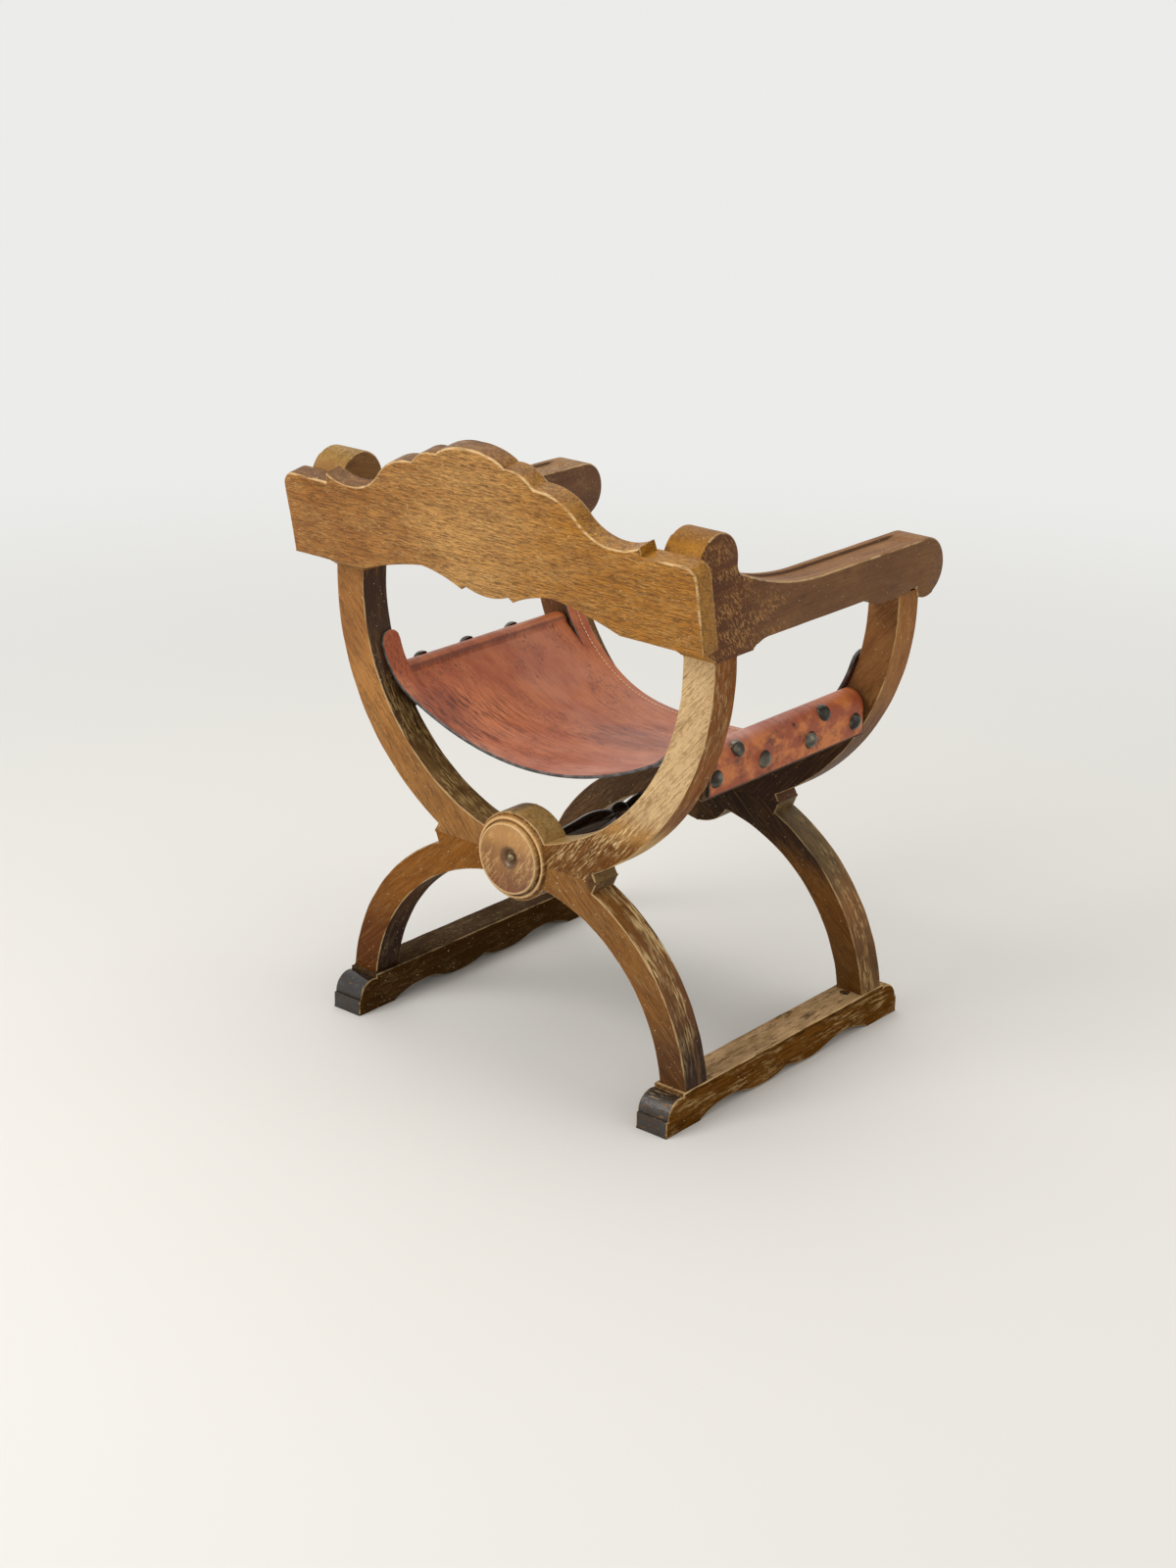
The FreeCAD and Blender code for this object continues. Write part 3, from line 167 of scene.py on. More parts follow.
# %% Even steps round an outline
def even_outline(flat):
    """Anticlockwise outline at even steps, its unit outward normals and their mitre lengths, which
    are 1 / cos of half the turn at each point."""
    following = np.roll(flat, -1, axis=0)
    if np.sum(flat[:, 0] * following[:, 1] - following[:, 0] * flat[:, 1]) < 0:
        flat = flat[::-1]
    flat = flat[np.linalg.norm(flat - np.roll(flat, 1, axis=0), axis=1) > SHORTEST]
    ahead = np.roll(flat, -1, axis=0) - flat
    heading = np.arctan2(ahead[:, 1], ahead[:, 0])
    turn = (heading - np.roll(heading, 1) + math.pi) % TAU - math.pi
    corners = np.flatnonzero(np.abs(turn) > CORNER)
    flat = np.roll(flat, -corners[0], axis=0)
    corners = np.append(corners - corners[0], len(flat))
    closed = np.vstack([flat, flat[:1]])
    runs = []
    for first, last in zip(corners[:-1], corners[1:]):
        stretch = closed[first:last + 1]
        length = lengths_along(stretch)
        count = max(1, round(length[-1] / STEP))
        runs.append(at_lengths(stretch, length, np.linspace(0, length[-1], count + 1)[:-1]))
    outline = np.vstack(runs)
    ahead = unit(np.roll(outline, -1, axis=0) - outline)
    both = ahead + np.roll(ahead, 1, axis=0)
    normal = unit(np.stack([both[:, 1], -both[:, 0]], axis=-1))
    mitre = 1 / np.maximum(MITRE_LIMIT, normal[:, 0] * ahead[:, 1] - normal[:, 1] * ahead[:, 0])
    return outline, normal, mitre


def wander(count, waves, seed):
    """A closed smooth random line of this many points, between -1 and 1: a sum of sines."""
    local = np.random.default_rng(seed)
    turn = np.linspace(0, TAU, count, endpoint=False)
    order = np.arange(1, waves + 1)
    phase = local.uniform(0, TAU, waves)
    size = local.uniform(0.3, 1, waves)
    line = (size * np.sin(turn[:, None] * order + phase)).sum(axis=1)
    return line / np.abs(line).max()


print("even steps round it:", len(even_outline(bow_cut[:, [0, 2]])[0]))


# %% Put arrays into a mesh object
def into_scene(name, data):
    """A new object of this mesh, lamp or camera, at the origin of the scene."""
    made = bpy.data.objects.new(name, data)
    bpy.context.scene.collection.objects.link(made)
    return made


def finish_piece(name, points, faces, *materials, node=None, slot="oak", smooth_angle=38, wear=None):
    """Mesh object from corner places and faces, shaded smooth up to an angle, riding on the chair.
    wear is one number a corner: 1 where an arris is rubbed bare, -1 where a groove is drawn darker."""
    mesh = bpy.data.meshes.new(name)
    mesh.from_pydata(points.tolist(), [], faces)
    if wear is not None:
        mesh.attributes.new("wear", "FLOAT", "POINT").data.foreach_set("value", np.ravel(wear))
    shape = bmesh.new()
    shape.from_mesh(mesh)
    bmesh.ops.remove_doubles(shape, verts=shape.verts, dist=0.01 * MM)
    bmesh.ops.recalc_face_normals(shape, faces=shape.faces)
    shape.to_mesh(mesh)
    shape.free()
    piece = into_scene(name, mesh)
    for material in materials:
        mesh.materials.append(material)
    mesh.polygons.foreach_set("use_smooth", np.ones(len(mesh.polygons), dtype=bool))
    mesh.set_sharp_from_angle(angle=math.radians(smooth_angle))
    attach(piece, "root")
    if node is not None:
        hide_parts(node)
    return piece


# %% A worn plank
def plank(node, outline, across, back_to_space, arris, material, seed, dent=None):
    """A worn plank.  Surface: outline - outward normal * (dent + arris * (1 - sin a)), while its depth
    sinks by arris * (1 - cos a) from both faces and runs straight between them."""
    flat, normal, mitre = outline
    low, high = across
    radius = arris * (1 + ARRIS_WANDER * wander(len(flat), ARRIS_WAVES, seed))
    reach = arris.max() * (1 + ARRIS_WANDER)
    straight = high - low - 2 * reach
    rows = np.linspace(0, 1, max(2, round((high - low) / ROW_STEP)) + 1)
    if dent is not None:
        rows = np.unique(np.concatenate([rows, (dent["rows"] - low - reach) / straight]))
    turn = np.linspace(0, math.pi / 2, 5)[:, None]
    sink, inset = radius * (1 - np.cos(turn)), radius * (1 - np.sin(turn))
    inner = np.repeat((low + reach + straight * rows)[:, None], len(flat), axis=1)
    depth = np.vstack([low + sink, inner, high - sink[::-1]])
    inset = np.vstack([inset, 0 * inner, inset[::-1]])
    on_arris = np.vstack([np.sin(2 * turn), 0 * rows[:, None], np.sin(2 * turn)])
    rubbed = on_arris * np.clip(radius / arris.max() * 1.4 - 0.4, 0, 1)
    if dent is not None:
        inset = inset + dent["depth"](depth)
        rubbed = rubbed - dent["darkening"](depth)
    place = flat - normal * (inset * mitre)[..., None]
    points = back_to_space(place[..., 0], place[..., 1], depth).reshape(-1, 3)
    index = np.arange(depth.size).reshape(depth.shape)
    ahead = np.roll(index, -1, axis=1)
    quads = np.stack([index[:-1], ahead[:-1], ahead[1:], index[1:]], axis=-1).reshape(-1, 4)
    faces = quads.tolist() + [index[0][::-1].tolist(), index[-1].tolist()]
    return finish_piece(node + "_wood", points, faces, material, node=node, wear=rubbed)


def lying_in_frame(a, b, c):
    """Outline places (a, b) and depth c of a plank that stands in a crossed frame's plane."""
    return np.stack([a, c, b], axis=-1)


def lying_in_side(a, b, c):
    """Outline places (a, b) and depth c of a plank that stands in the chair's side plane."""
    return np.stack([c, a, b], axis=-1)


# %% [markdown]
# ## Colour, and one way to add a shader node
# Colours are given as ordinary screen hex values and turned to the linear light that
# the renderer works in.  One small function adds any node, sets it up and links it.  A
# smooth step between two limits is needed so often that an input may simply be written
# as one, and each material below then reads as a list of layers.

# %% Two settings that return
SMOOTH = dict(interpolation_type="SMOOTHSTEP")
TURN_ABOUT_Z = dict(rotation_type="Z_AXIS")


# %% Colours, nodes and links
def linear(code):
    """sRGB hex to linear RGBA: x / 12.92 below 0.04045, else ((x + 0.055) / 1.055) ** 2.4."""
    value = np.array([int(code[k:k + 2], 16) for k in (1, 3, 5)]) / 255
    value = np.where(value <= 0.04045, value / 12.92, ((value + 0.055) / 1.055) ** 2.4)
    return (*value, 1.0)


def give(tree, node, inputs):
    """Give a node's inputs numbers, hex colours, links or smooth steps.  A step is written as
    (link, start, end, low, high), and low and high are 0 and 1 where they are left out."""
    for key, value in inputs.items():
        if isinstance(value, tuple) and isinstance(value[0], bpy.types.NodeSocket):
            value = add(tree, "MapRange", value, **SMOOTH)[0]
        if isinstance(value, bpy.types.NodeSocket):
            tree.links.new(value, node.inputs[key])
        else:
            node.inputs[key].default_value = linear(value) if isinstance(value, str) else value


def add(tree, kind, inputs=(), **settings):
    """Add a node, apply its settings, fill its inputs in order or by name, and return its outputs."""
    node = tree.nodes.new("ShaderNode" + kind)
    for key, value in settings.items():
        setattr(node, key, value)
    give(tree, node, inputs if isinstance(inputs, dict) else dict(enumerate(inputs)))
    return node.outputs


def new_material(name):
    """An empty material, its node tree and its shader."""
    material = bpy.data.materials.new(name)
    material.use_nodes = True
    return material, material.node_tree, material.node_tree.nodes["Principled BSDF"]


# %% Sums, layers and patterns
def product(tree, *factors):
    """All factors multiplied, each as add takes it."""
    whole = factors[0]
    for factor in factors[1:]:
        whole = add(tree, "Math", (whole, factor), operation="MULTIPLY")[0]
    return whole


def total(tree, *terms):
    """All terms added up, each as add takes it."""
    whole = terms[0]
    for term in terms[1:]:
        whole = add(tree, "Math", (whole, term), operation="ADD")[0]
    return whole


def hypotenuse(tree, a, b):
    """The root of a * a + b * b."""
    return add(tree, "Math", (total(tree, product(tree, a, a), product(tree, b, b)),), operation="SQRT")[0]


def lay(tree, tone, colour, *factors, way="MIX"):
    """A colour laid over a tone by the product of its factors, or multiplied into it."""
    return add(tree, "Mix", {0: product(tree, *factors), 6: tone, 7: colour}, data_type="RGBA",
               blend_type=way)[2]


def cells(tree, place, size, detail=3.0, rough=0.55, offset=(0, 0, 0)):
    """A cloudy pattern whose cells have this real size in mm along each axis of the place."""
    scale = [1 / (c * MM) for c in size]
    placed = add(tree, "Mapping", {"Vector": place, "Scale": scale, "Location": offset})
    return add(tree, "TexNoise", {"Vector": placed[0], "Scale": 1.0, "Detail": detail,
                                  "Roughness": rough})["Fac"]


def place_of(tree):
    """The place on the chair in metres, whole and as its x, y and z."""
    place = add(tree, "TexCoord")["Object"]
    return place, add(tree, "SeparateXYZ", (place,))


def facing(tree):
    """The x, y and z of the direction in which the surface faces."""
    return add(tree, "SeparateXYZ", (add(tree, "NewGeometry")["Normal"],))


print("mid grey in linear light:", round(linear("#808080")[0], 3))

# %% [markdown]
# ## Waxed oak, limed by time
# The chair is European oak, stained, limed, waxed and rubbed for decades.  The eye reads
# it by five things: a soft change of colour along each member, short dark pores, pale
# lime left in the grain in patches, bare arrises like thin pale lines, and a few specks.
# A curved member is sawn from a straight plank, so on its flat faces the grain runs
# straight along its chord, and on its edges the cut fibres follow the curve.  Pores are
# 0.3 mm wide on real oak; they are drawn 1 mm wide here, because nothing finer would
# show in the picture.

# %% Arcs, chords and straight members
ARC_CENTRES = {"bow": (-27 * MM, 583 * MM, 300 * MM), "leg": (10.5 * MM, 21 * MM, 250 * MM)}
CHORD_DEGREES = {"bow": 49, "leg": -41}
STRAIGHT = {"x": (0, 2, 1), "y": (1, 2, 0), "z": (2, 0, 1)}
OTHER_HALF = 0.4
BORDER_BLUR = 0.7


# %% The member's own space
def grain_space(tree, path, on_face=0.0):
    """(along, across, through) in metres, and x, y and z.  A curved member: on its sawn faces turned to
    its chord, and on its edges along = angle * mean radius, across = distance from the centre.  The
    left and right members are cut from other places of the plank."""
    _, axes = place_of(tree)
    if path in STRAIGHT:
        return add(tree, "CombineXYZ", [axes[k] for k in STRAIGHT[path]])[0], axes
    centre_x, centre_z, mean = ARC_CENTRES[path]
    side = total(tree, add(tree, "Math", (axes[0],), operation="ABSOLUTE")[0], -centre_x)
    rise = total(tree, axes[2], -centre_z)
    along = product(tree, add(tree, "Math", (rise, side), operation="ARCTAN2")[0], mean)
    half = add(tree, "Math", (axes[0],), operation="SIGN")[0]
    depth = total(tree, axes[1], product(tree, half, OTHER_HALF))
    polar = add(tree, "CombineXYZ", (along, hypotenuse(tree, side, rise), depth))[0]
    upright = add(tree, "CombineXYZ", (side, axes[2], depth))[0]
    chord = add(tree, "VectorRotate", {"Vector": upright, "Angle": math.radians(-CHORD_DEGREES[path])},
                **TURN_ABOUT_Z)[0]
    return add(tree, "Mix", {0: on_face, 4: polar, 5: chord}, data_type="VECTOR")[1], axes


def along_member(tree, axes, fade, cloud):
    """0 to 1 between two places in mm along an axis, its border blurred by a cloud."""
    if fade is None:
        return cloud
    axis, start, end = fade
    blur = product(tree, total(tree, cloud, -0.5), BORDER_BLUR)
    return add(tree, "Math", ((axes[axis], start * MM, end * MM), blur), operation="ADD", use_clamp=True)[0]


def colours_along(tree, share, colours):
    """Colours spread evenly along a share from 0 to 1."""
    tone, steps = colours[0], len(colours) - 1
    for k, colour in enumerate(colours[1:]):
        tone = lay(tree, tone, colour, (share, k / steps, (k + 1) / steps))
    return tone


# %% What can be said of one oak finish
WAXED_OAK = dict(
    face_axis=1,         # the axis that the sawn faces look along
    fade=None,           # (axis, start, end) in mm: where the face and side colours pass
    top=None,            # colours of level surfaces
    cloudy=0.5, gold=0.25, figure=1.0,       # broad shade, golden streaks, strength of the figure
    pores="#3a2109", pore_share=0.62, pore_cell=(13, 2.6, 3.0), pore_cover=0.0, even_pores=0.0,
    lime="#cdae78", face_lime=0.15, side_lime=0.6, lime_fade=None, lime_cover=0.0,
    fleck_cell=(15, 2.6, 3.2), fleck_turn=0,
    grime="#2c1a09", grime_share=0.35,
    # the next entry is painted shade: a dark spot where shade falls on a spur
    stain=None,          # (x, z, reach) in mm of a dark place in the frame's plane
    wear_colour="#d9b885", wear_share=0.7,
    gloss=0.36, sheen=0.22, seed=0.0,
)
print("values of a waxed oak finish:", len(WAXED_OAK))


# %% Stain and figure
def stained(tree, wood, finish):
    """The stained colours along the member, then broad shade, dark streaks and golden ones."""
    share = along_member(tree, wood.axes, finish.fade, wood.cloud)
    side, face = (colours_along(tree, share, colours) for colours in (finish.side, finish.face))
    tone = lay(tree, side, face, wood.on_face)
    if finish.top is not None:
        tone = lay(tree, tone, colours_along(tree, share, finish.top), (wood.facing[2], 0.6, 0.85))
    tone = lay(tree, tone, "#b39c86", (wood.cloud, 0.34, 0.68, 0.0, finish.cloudy), way="MULTIPLY")
    tone = lay(tree, tone, "#8f7458", (wood.streak, 0.48, 0.66, 0.0, 0.5 * finish.figure), way="MULTIPLY")
    return lay(tree, tone, "#c08a45", (wood.streak, 0.50, 0.34, 0.0, finish.gold * finish.figure))


# %% Open pores
def pored(tree, wood, finish):
    """Share of short open pores: a coarse and a fine layer, crowded in some places."""
    coarse = cells(tree, wood.grain, finish.pore_cell, 2, 0.65, (1 + finish.seed, 7, 2))
    fine = cells(tree, wood.grain, (7, 1.4, 1.6), 1, 0.5, (finish.seed, 3, 8))
    crowd = cells(tree, wood.grain, (40, 16, 18), 2, 0.5, (6, 2 + finish.seed, 5))
    either = add(tree, "Math", ((coarse, 0.52 - finish.pore_cover, 0.60),
                                (fine, 0.55 - finish.pore_cover, 0.66, 0.0, 0.7)), operation="MAXIMUM")[0]
    return product(tree, either, (crowd, 0.35, 0.62, 0.4 + finish.even_pores, 1.0),
                   finish.pore_share * finish.figure)


# %% Lime in the grain
def limed(tree, wood, finish):
    """Share of lime left in the grain: flecks, in ragged patches, by face or side, along the member."""
    turned = add(tree, "VectorRotate", {"Vector": wood.grain, "Angle": math.radians(finish.fleck_turn)},
                 **TURN_ABOUT_Z)[0]
    fleck = cells(tree, turned, finish.fleck_cell, 4, 0.72, (5, 2 + finish.seed, 9))
    patch = cells(tree, wood.grain, (60, 24, 28), 3, 0.62, (8, 8, 1 + finish.seed))
    amount = total(tree, product(tree, wood.on_face, finish.face_lime - finish.side_lime), finish.side_lime)
    share = product(tree, (fleck, 0.49 - finish.lime_cover, 0.59 - finish.lime_cover), (patch, 0.40, 0.60),
                    amount)
    if finish.lime_fade is not None:
        share = product(tree, share, along_member(tree, wood.axes, finish.lime_fade, wood.cloud))
    return share


# %% Dirt and wear
def dirt_and_painted_shade(tree, wood, finish, tone):
    """Grime in smears, a dark spot of painted shade where a finish has one, and a few pale specks."""
    smear = cells(tree, wood.grain, (48, 13, 16), 4, 0.66, (2, 4, 7 + finish.seed))
    tone = lay(tree, tone, finish.grime, (smear, 0.58, 0.72, 0.0, finish.grime_share))
    # painted shade: a dark spot where a finish has one
    if finish.stain is not None:
        x, z, reach = (v * MM for v in finish.stain)
        apart = hypotenuse(tree, total(tree, wood.axes[0], -x), total(tree, wood.axes[2], -z))
        tone = lay(tree, tone, "#3a2612", (apart, reach, 0.6 * reach, 0.0, 0.7))
    speck = cells(tree, wood.grain, (3.2, 1.8, 1.8), 1, 0.4, (9, 1, 3 + finish.seed))
    return lay(tree, tone, "#e6d2a8", (speck, 0.745, 0.79, 0.0, 0.8))


def rubbed_bare(tree, wood, finish, tone):
    """Darker in the grooves, and bare arrises, thin and broken, from the wear that the mesh carries."""
    worn = add(tree, "Attribute", attribute_name="wear")["Fac"]
    tone = lay(tree, tone, finish.grime, (worn, -0.1, -0.9, 0.0, 0.75))
    ragged = cells(tree, wood.grain, (26, 6, 6), 4, 0.7, (4, 4, 2 + finish.seed))
    return lay(tree, tone, finish.wear_colour, (worn, 0.35, 1.0), (ragged, 0.36, 0.56, 0.15, 1.0),
               finish.wear_share)


# %% The oak builder
def oak(name, path, face, side, **changes):
    """Waxed oak in layers.  face and side are the colours of the sawn faces and of the planed edges."""
    finish = SimpleNamespace(face=face, side=side, **{**WAXED_OAK, **changes})
    material, tree, shader = new_material(name)
    wood = SimpleNamespace(facing=facing(tree))
    flatness = add(tree, "Math", (wood.facing[finish.face_axis],), operation="ABSOLUTE")[0]
    wood.on_face = add(tree, "MapRange", (flatness, 0.6, 0.8), **SMOOTH)[0]
    wood.grain, wood.axes = grain_space(tree, path, wood.on_face)
    wood.cloud = cells(tree, wood.grain, (95, 40, 45), 3, 0.6, (3 + finish.seed, 1, 4))
    wood.streak = cells(tree, wood.grain, (60, 2.6, 8), 5, 0.7, (finish.seed, 5, 2))
    pores, lime = pored(tree, wood, finish), limed(tree, wood, finish)
    tone = lay(tree, stained(tree, wood, finish), finish.pores, pores)
    tone = dirt_and_painted_shade(tree, wood, finish, lay(tree, tone, finish.lime, lime))
    relief = total(tree, product(tree, wood.streak, 0.4), product(tree, pores, -1.0),
                   product(tree, lime, -0.3))
    give(tree, shader, {
        "Base Color": rubbed_bare(tree, wood, finish, tone),
        "Roughness": total(tree, product(tree, wood.streak, 0.24), finish.gloss, product(tree, lime, 0.2)),
        "Specular IOR Level": finish.sheen,
        "Normal": add(tree, "Bump", {"Height": relief, "Distance": 0.3 * MM, "Strength": 0.8})[0]})
    return material


# %% [markdown]
# ## The eight bows and legs
# Each crossed frame is four quarters glued at the hub.  The visible arrises are worn,
# but the glued seams stay tight, so the arris radius drops to almost nothing wherever
# the outline runs along a seam, under an arm or on a runner.

# %% Arrises and finishes of the quarters
ARRIS, TIGHT = 2.2 * MM, 0.35 * MM
ON_SEAM = 0.6 * MM
HUB_REACH = 20 * MM
# face and side colours run from the first place in mm of fade to the second
QUARTER_FINISH = {
    # painted shade: the sides darken upwards, under the arm
    "rear_bow_left": dict(
        path="bow", face=("#9c692d", "#aa7338"), side=("#81613a", "#3d250f"), fade=(2, 310, 470),
        face_lime=0.2, side_lime=0.9, lime_fade=(2, 560, 350), lime="#b8965e", lime_cover=0.02,
        fleck_cell=(22, 2.4, 3.0), figure=0.8),
    # painted shade: a dark spot on the spur where this bow and its leg part
    "rear_bow_right": dict(
        path="bow", face=("#6c4016", "#b98d53", "#dab98a"), side=("#c8a264", "#82480e"), fade=(2, 325, 400),
        face_lime=0.95, side_lime=0.35, lime_fade=(2, 150, 400), lime="#d8b985", fleck_cell=(18, 2.4, 3.0),
        pores="#7a5122", pore_share=0.6, grime="#7a5122", grime_share=0.5, sheen=0.1, figure=0.9,
        stain=(-134, 282, 19)),
    "rear_leg_left": dict(
        path="leg", face=("#5c2f06", "#855117"), side=("#261001", "#4c2c0b"), fade=(2, 60, 230),
        face_lime=0.08, side_lime=0.08, grime_share=0.25, sheen=0.1, figure=0.5),
    # painted shade: the same dark spot, on the leg's half of the spur
    "rear_leg_right": dict(
        path="leg", face=("#5a3719", "#8b5c28"), side=("#2c1302", "#7c4f22"), fade=(2, 60, 190),
        face_lime=0.12, side_lime=1.0, lime_fade=(2, 60, 170), lime="#cdae7a", lime_cover=0.03,
        fleck_cell=(24, 2.6, 2.8), sheen=0.15, figure=0.7, stain=(-134, 282, 19)),
    "front_bow_left": dict(
        path="bow", face=("#62340c", "#724016"), side=("#523314", "#724e28"), fade=(2, 300, 560),
        face_lime=0.12, side_lime=0.4, sheen=0.15, figure=0.7),
    # painted shade: face and sides darken towards the hub, under the seat
    "front_bow_right": dict(
        path="bow", face=("#3a1f0a", "#6a3f1d", "#9a6a3d"), side=("#5a3410", "#9c6428"), fade=(2, 340, 520),
        face_lime=0.25, lime_fade=(2, 330, 430), side_lime=0.2, lime="#b8935f", sheen=0.15, figure=0.5),
    "front_leg_left": dict(
        path="leg", face=("#52340f", "#5a3913"), side=("#4a2f10", "#6a4722"), fade=(2, 60, 240),
        face_lime=0.12, side_lime=0.3, figure=0.6),
    # painted shade: the face darkens towards the hub, under the seat
    "front_leg_right": dict(
        path="leg", face=("#66400f", "#7c4c10", "#321b09"), side=("#644214", "#8a5e33", "#645234"),
        fade=(2, 60, 262), face_lime=0.08, side_lime=0.6, lime="#c6a46c", sheen=0.15, figure=0.6),
}


# %% Build the quarters
def quarter(node, seed):
    """One bow or leg, from its outline just under the outer face."""
    low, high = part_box(node)
    outer = high.y - UNDER_FACE if low.y > middle_y else low.y + UNDER_FACE
    outline = even_outline(slice_outline(node, (0, 1, 0), outer)[:, [0, 2]])
    x, z = outline[0].T
    end_z = high.z if low.z > hub_z - HUB_REACH else runner_high.z
    seam = np.minimum(np.minimum(np.abs(x), np.abs(z - hub_z)), np.abs(z - end_z)) < ON_SEAM
    return plank(node, outline, (low.y, high.y), lying_in_frame, np.where(seam, TIGHT, ARRIS),
                 oak("waxed_oak_" + node, seed=1.7 * seed, **QUARTER_FINISH[node]), seed)


for seed, name in enumerate(QUARTER_FINISH):
    print(name, len(quarter(name, seed).data.polygons), "faces")

# %% [markdown]
# ## Runners with blackened toes
# The two floor runners carry the legs.  Their toes were painted black and are rubbed
# through on the corners.  The paint is one more layer on the oak, placed by the
# distance from the middle of the chair.  A recess beside each foot holds a screw.

# %% Measures of the runners
toe = (runner_high.y - runner_low.y) / 2
TOE_PAINT = (toe - 31 * MM, toe - 28 * MM)
TOE_RAGGED = 5 * MM
PAINT_ROUGHNESS, PAINT_GLOSS = 0.16, 0.75
print("paint starts", round(TOE_PAINT[0] / MM), "mm from the middle")
RUNNER_ARRIS, FOOT_ARRIS = 2.4 * MM, 0.8 * MM
SCREW_REACH = 159 * MM
RECESS_RADIUS, RECESS_SINK = 7 * MM, 3 * MM


# %% Paint the toes
def painted_toes(material):
    """Black paint over the nose of a runner, but not over its sides, rubbed off on the arrises."""
    tree = material.node_tree
    shader = tree.nodes["Principled BSDF"]
    tone, dull = (shader.inputs[name].links[0].from_socket for name in ("Base Color", "Roughness"))
    place, axes = place_of(tree)
    ragged = total(tree, axes[1], -middle_y, product(tree, cells(tree, place, (7, 7, 7), 4, 0.7), TOE_RAGGED))
    aside = add(tree, "Math", (facing(tree)[0],), operation="ABSOLUTE")[0]
    scuffs = cells(tree, place, (24, 3, 3), 4, 0.7, (2, 2, 2))
    worn = add(tree, "Attribute", attribute_name="wear")["Fac"]
    share = product(tree, (ragged, *TOE_PAINT, 0.0, 0.95), (aside, 0.35, 0.6, 1.0, 0.0),
                    (scuffs, 0.54, 0.62, 1.0, 0.2), (worn, 0.2, 0.8, 1.0, 0.15))
    give(tree, shader, {
        "Base Color": lay(tree, tone, "#181411", share),
        "Roughness": add(tree, "Mix", {0: share, 2: dull, 3: PAINT_ROUGHNESS})[0],
        "Specular IOR Level": product(tree, share, PAINT_GLOSS)})
    return material


# %% Build the runners
def runner(node, seed, **finish):
    """A runner, its outline taken just inside its outer face."""
    low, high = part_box(node)
    outline = even_outline(slice_outline(node, (1, 0, 0), high.x - UNDER_FACE)[:, [1, 2]])
    arris = np.where(outline[0][:, 1] < 0.5 * MM, FOOT_ARRIS, RUNNER_ARRIS)
    material = painted_toes(oak("limed_oak_" + node, "y", face_axis=0, seed=seed, **finish))
    piece = plank(node, outline, (low.x, high.x), lying_in_side, arris, material, seed)
    sink_recesses(piece, (low.x + high.x) / 2, high.z)


def sink_recesses(piece, middle_x, top_z):
    """Sink a round recess in the top beside each foot, where the screw that holds the leg sits."""
    for end in (-1, 1):
        place = Matrix.Translation((middle_x, middle_y + end * SCREW_REACH, top_z))
        shape = bmesh.new()
        bmesh.ops.create_cone(shape, cap_ends=True, segments=28, radius1=RECESS_RADIUS, radius2=RECESS_RADIUS,
                              depth=2 * RECESS_SINK, matrix=place)
        cutter_mesh = bpy.data.meshes.new("recess")
        shape.to_mesh(cutter_mesh)
        shape.free()
        cutter = into_scene("recess", cutter_mesh)
        cut = piece.modifiers.new("recess", "BOOLEAN")
        cut.operation = "DIFFERENCE"
        cut.object = cutter
        graph = bpy.context.evaluated_depsgraph_get()
        sunk = bpy.data.meshes.new_from_object(piece.evaluated_get(graph))
        piece.modifiers.remove(cut)
        piece.data = sunk
        bpy.data.objects.remove(cutter)
    print(piece.name, "with recesses:", len(piece.data.polygons), "faces")


runner("floor_runner_right", 31, face=("#684014", "#704a1c"), side=("#684014", "#704a1c"),
       top=("#d6b088", "#c4a472"), face_lime=0.75, side_lime=0.9, lime="#a88a5c", fleck_cell=(30, 3, 3),
       pore_cell=(24, 3, 3), grime_share=0.65, gold=0.1, sheen=0.18)
runner("floor_runner_left", 32, face=("#402a14", "#493117"), side=("#402a14", "#493117"), top=("#4e3e2f",),
       face_lime=0.08, side_lime=0.12, wear_share=0.45, gold=0.05, sheen=0.18, figure=0.6)

# %% [markdown]
# ## Arms
# An arm is a thick plank too, but its top carries a long shallow channel between two
# raised borders.  On the grid that is only a dent: rows between the borders are drawn
# inwards wherever the outline faces up and lies in the channel's length.

# %% Measures of the arms
CHANNEL_DEPTH, CHANNEL_BORDER = 3.4 * MM, 11 * MM
CHANNEL_FRONT, CHANNEL_REAR = front_post_low.y + 0.12 * post_depth, post_low.y - 42 * MM
FRONT_RUNOUT, REAR_RUNOUT = 12 * MM, 46 * MM
BORDER_EDGE = np.array([-3.2, -1.2, 0.1, 1.5]) * MM
ARM_ARRIS, ARM_SEAM = 3.2 * MM, 1.2 * MM


